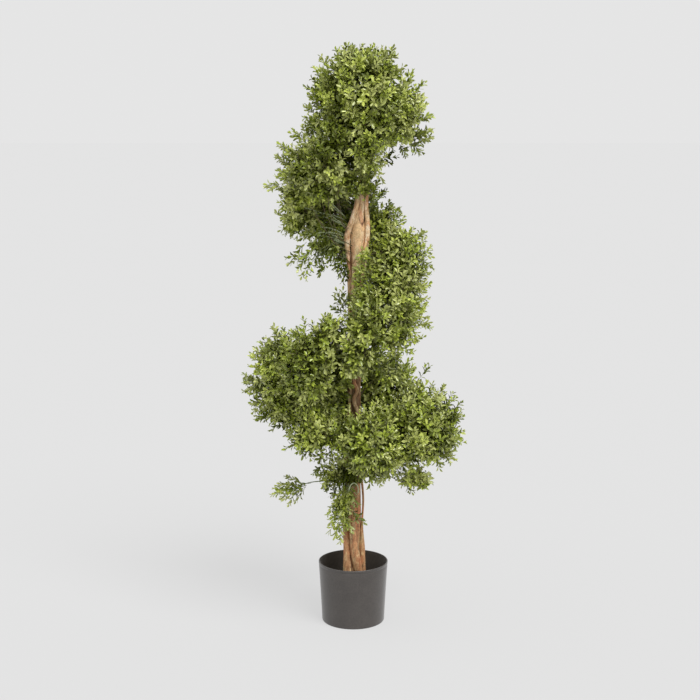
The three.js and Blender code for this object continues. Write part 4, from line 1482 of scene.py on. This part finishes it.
def matt_floor(albedo, glow):
    """Matt painted studio floor, lit from below as well so that shadows stay faint: pale and
    even, with no shine of its own."""
    material, tree = fresh_material("matt paint, pale grey, rolled")
    where = add_node(tree, "ShaderNodeTexCoord").outputs["Object"]
    # rolled patches about 1700 mm across
    cloud = add_node(tree, "ShaderNodeTexNoise", {"Vector": where, "Scale": 0.6, "Detail": 2.0})
    tone = add_node(
        tree, "ShaderNodeMix",
        {"Factor": cloud.outputs["Fac"], "A": grey(albedo * 0.99), "B": grey(albedo * 1.01)},
        data_type="RGBA")
    shader = add_node(
        tree, "ShaderNodeBsdfPrincipled",
        {"Base Color": tone.outputs["Result"], "Roughness": 1.0, "Specular IOR Level": 0.0,
         "Emission Color": (1, 1, 1, 1), "Emission Strength": glow})
    add_node(tree, "ShaderNodeOutputMaterial", {"Surface": shader.outputs["BSDF"]})
    return material


class TOPIARY_OT_stage(bpy.types.Operator):
    """Make the pale floor, the soft lights and the camera"""

    bl_idname = "topiary.stage"
    bl_label = "Studio"

    def execute(self, context):
        scene, stage = context.scene, context.scene.topiary_stage
        scene.view_settings.view_transform = "Standard"
        world = bpy.data.worlds.new("studio")
        world.use_nodes = True
        world.node_tree.nodes.clear()
        light = add_node(
            world.node_tree, "ShaderNodeBackground",
            {"Color": (1, 1, 1, 1), "Strength": stage.backdrop})
        add_node(world.node_tree, "ShaderNodeOutputWorld", {"Surface": light.outputs["Background"]})
        scene.world = world

        # each sun's strength, how many degrees it spreads over, and where it stands
        suns = [
            ("key", stage.key, 34, (0.60, -0.75, 1.2)),
            ("fill", stage.fill, 100, (-0.9, -0.5, 0.7)),
        ]
        received = math.pi * stage.backdrop
        for name, strength, spread, towards in suns:
            lamp = bpy.data.lights.new(name, "SUN")
            lamp.energy, lamp.angle = strength, math.radians(spread)
            holder = bpy.data.objects.new(name, lamp)
            holder.rotation_euler = Vector(towards).to_track_quat("Z", "Y").to_euler()
            scene.collection.objects.link(holder)
            received += strength * Vector(towards).normalized().z

        # the floor gives back as much light as the room behind it, so that no edge shows
        glow = stage.backdrop * stage.floor_glow
        albedo = math.pi * (stage.backdrop * 0.985 - glow) / received
        angle = 2 * np.pi * np.arange(FLOOR_SIDES) / FLOOR_SIDES
        circle = np.stack([np.cos(angle), np.sin(angle), np.zeros(FLOOR_SIDES)], -1)
        rings = [r * circle for r in FLOOR_RADII]
        quads, _ = ring_faces(len(rings), FLOOR_SIDES)
        # the innermost ring closes to a point, which comes after all the rings
        at = np.arange(FLOOR_SIDES)
        fan = np.stack([np.full(FLOOR_SIDES, len(rings) * FLOOR_SIDES), at, np.roll(at, -1)], -1)
        floor = mesh_object(
            "studio_floor", np.concatenate([*rings, [[0, 0, 0]]]), [quads[:, ::-1], fan],
            [matt_floor(albedo, glow)])

        eye = bpy.data.objects.new("camera", bpy.data.cameras.new("camera"))
        eye.data.lens, eye.data.sensor_width = stage.lens, 36
        eye.location = CAMERA_AT
        eye.rotation_euler = (math.radians(90 - CAMERA_DOWN), 0, 0)
        scene.collection.objects.link(eye)
        scene.camera = eye
        return {"FINISHED"}


class TOPIARY_PT_panel(bpy.types.Panel):
    """The pieces of the topiary and their sizes and colours"""

    bl_label = "Spiral topiary"
    bl_idname = "TOPIARY_PT_panel"
    bl_space_type = "VIEW_3D"
    bl_region_type = "UI"
    bl_category = "Topiary"

    def draw(self, context):
        for maker, settings in PARTS:
            box = self.layout.box()
            box.operator(maker.bl_idname)
            if settings:
                group = getattr(context.scene, settings)
                for key in type(group).__annotations__:
                    box.prop(group, key)


PARTS = [
    (TOPIARY_OT_stage, "topiary_stage"),
    (TOPIARY_OT_pot, "topiary_pot"),
    (TOPIARY_OT_wood, "topiary_wood"),
    (TOPIARY_OT_stems, None),
    (TOPIARY_OT_foliage, "topiary_foliage"),
]
SETTINGS = {
    "topiary_pot": TopiaryPotSettings,
    "topiary_wood": TopiaryWoodSettings,
    "topiary_foliage": TopiaryFoliageSettings,
    "topiary_stage": TopiaryStageSettings,
}


def register():
    for group in SETTINGS.values():
        bpy.utils.register_class(group)
    for maker, _ in PARTS:
        bpy.utils.register_class(maker)
    bpy.utils.register_class(TOPIARY_PT_panel)
    for key, group in SETTINGS.items():
        setattr(bpy.types.Scene, key, bpy.props.PointerProperty(type=group))


def unregister():
    for key in SETTINGS:
        delattr(bpy.types.Scene, key)
    bpy.utils.unregister_class(TOPIARY_PT_panel)
    for maker, _ in reversed(PARTS):
        bpy.utils.unregister_class(maker)
    for group in SETTINGS.values():
        bpy.utils.unregister_class(group)


def main():
    register()
    bpy.ops.topiary.stage()
    bpy.ops.topiary.pot()
    bpy.ops.topiary.wood()
    bpy.ops.topiary.stems()
    bpy.ops.topiary.foliage()


if __name__ == "__main__":
    main()
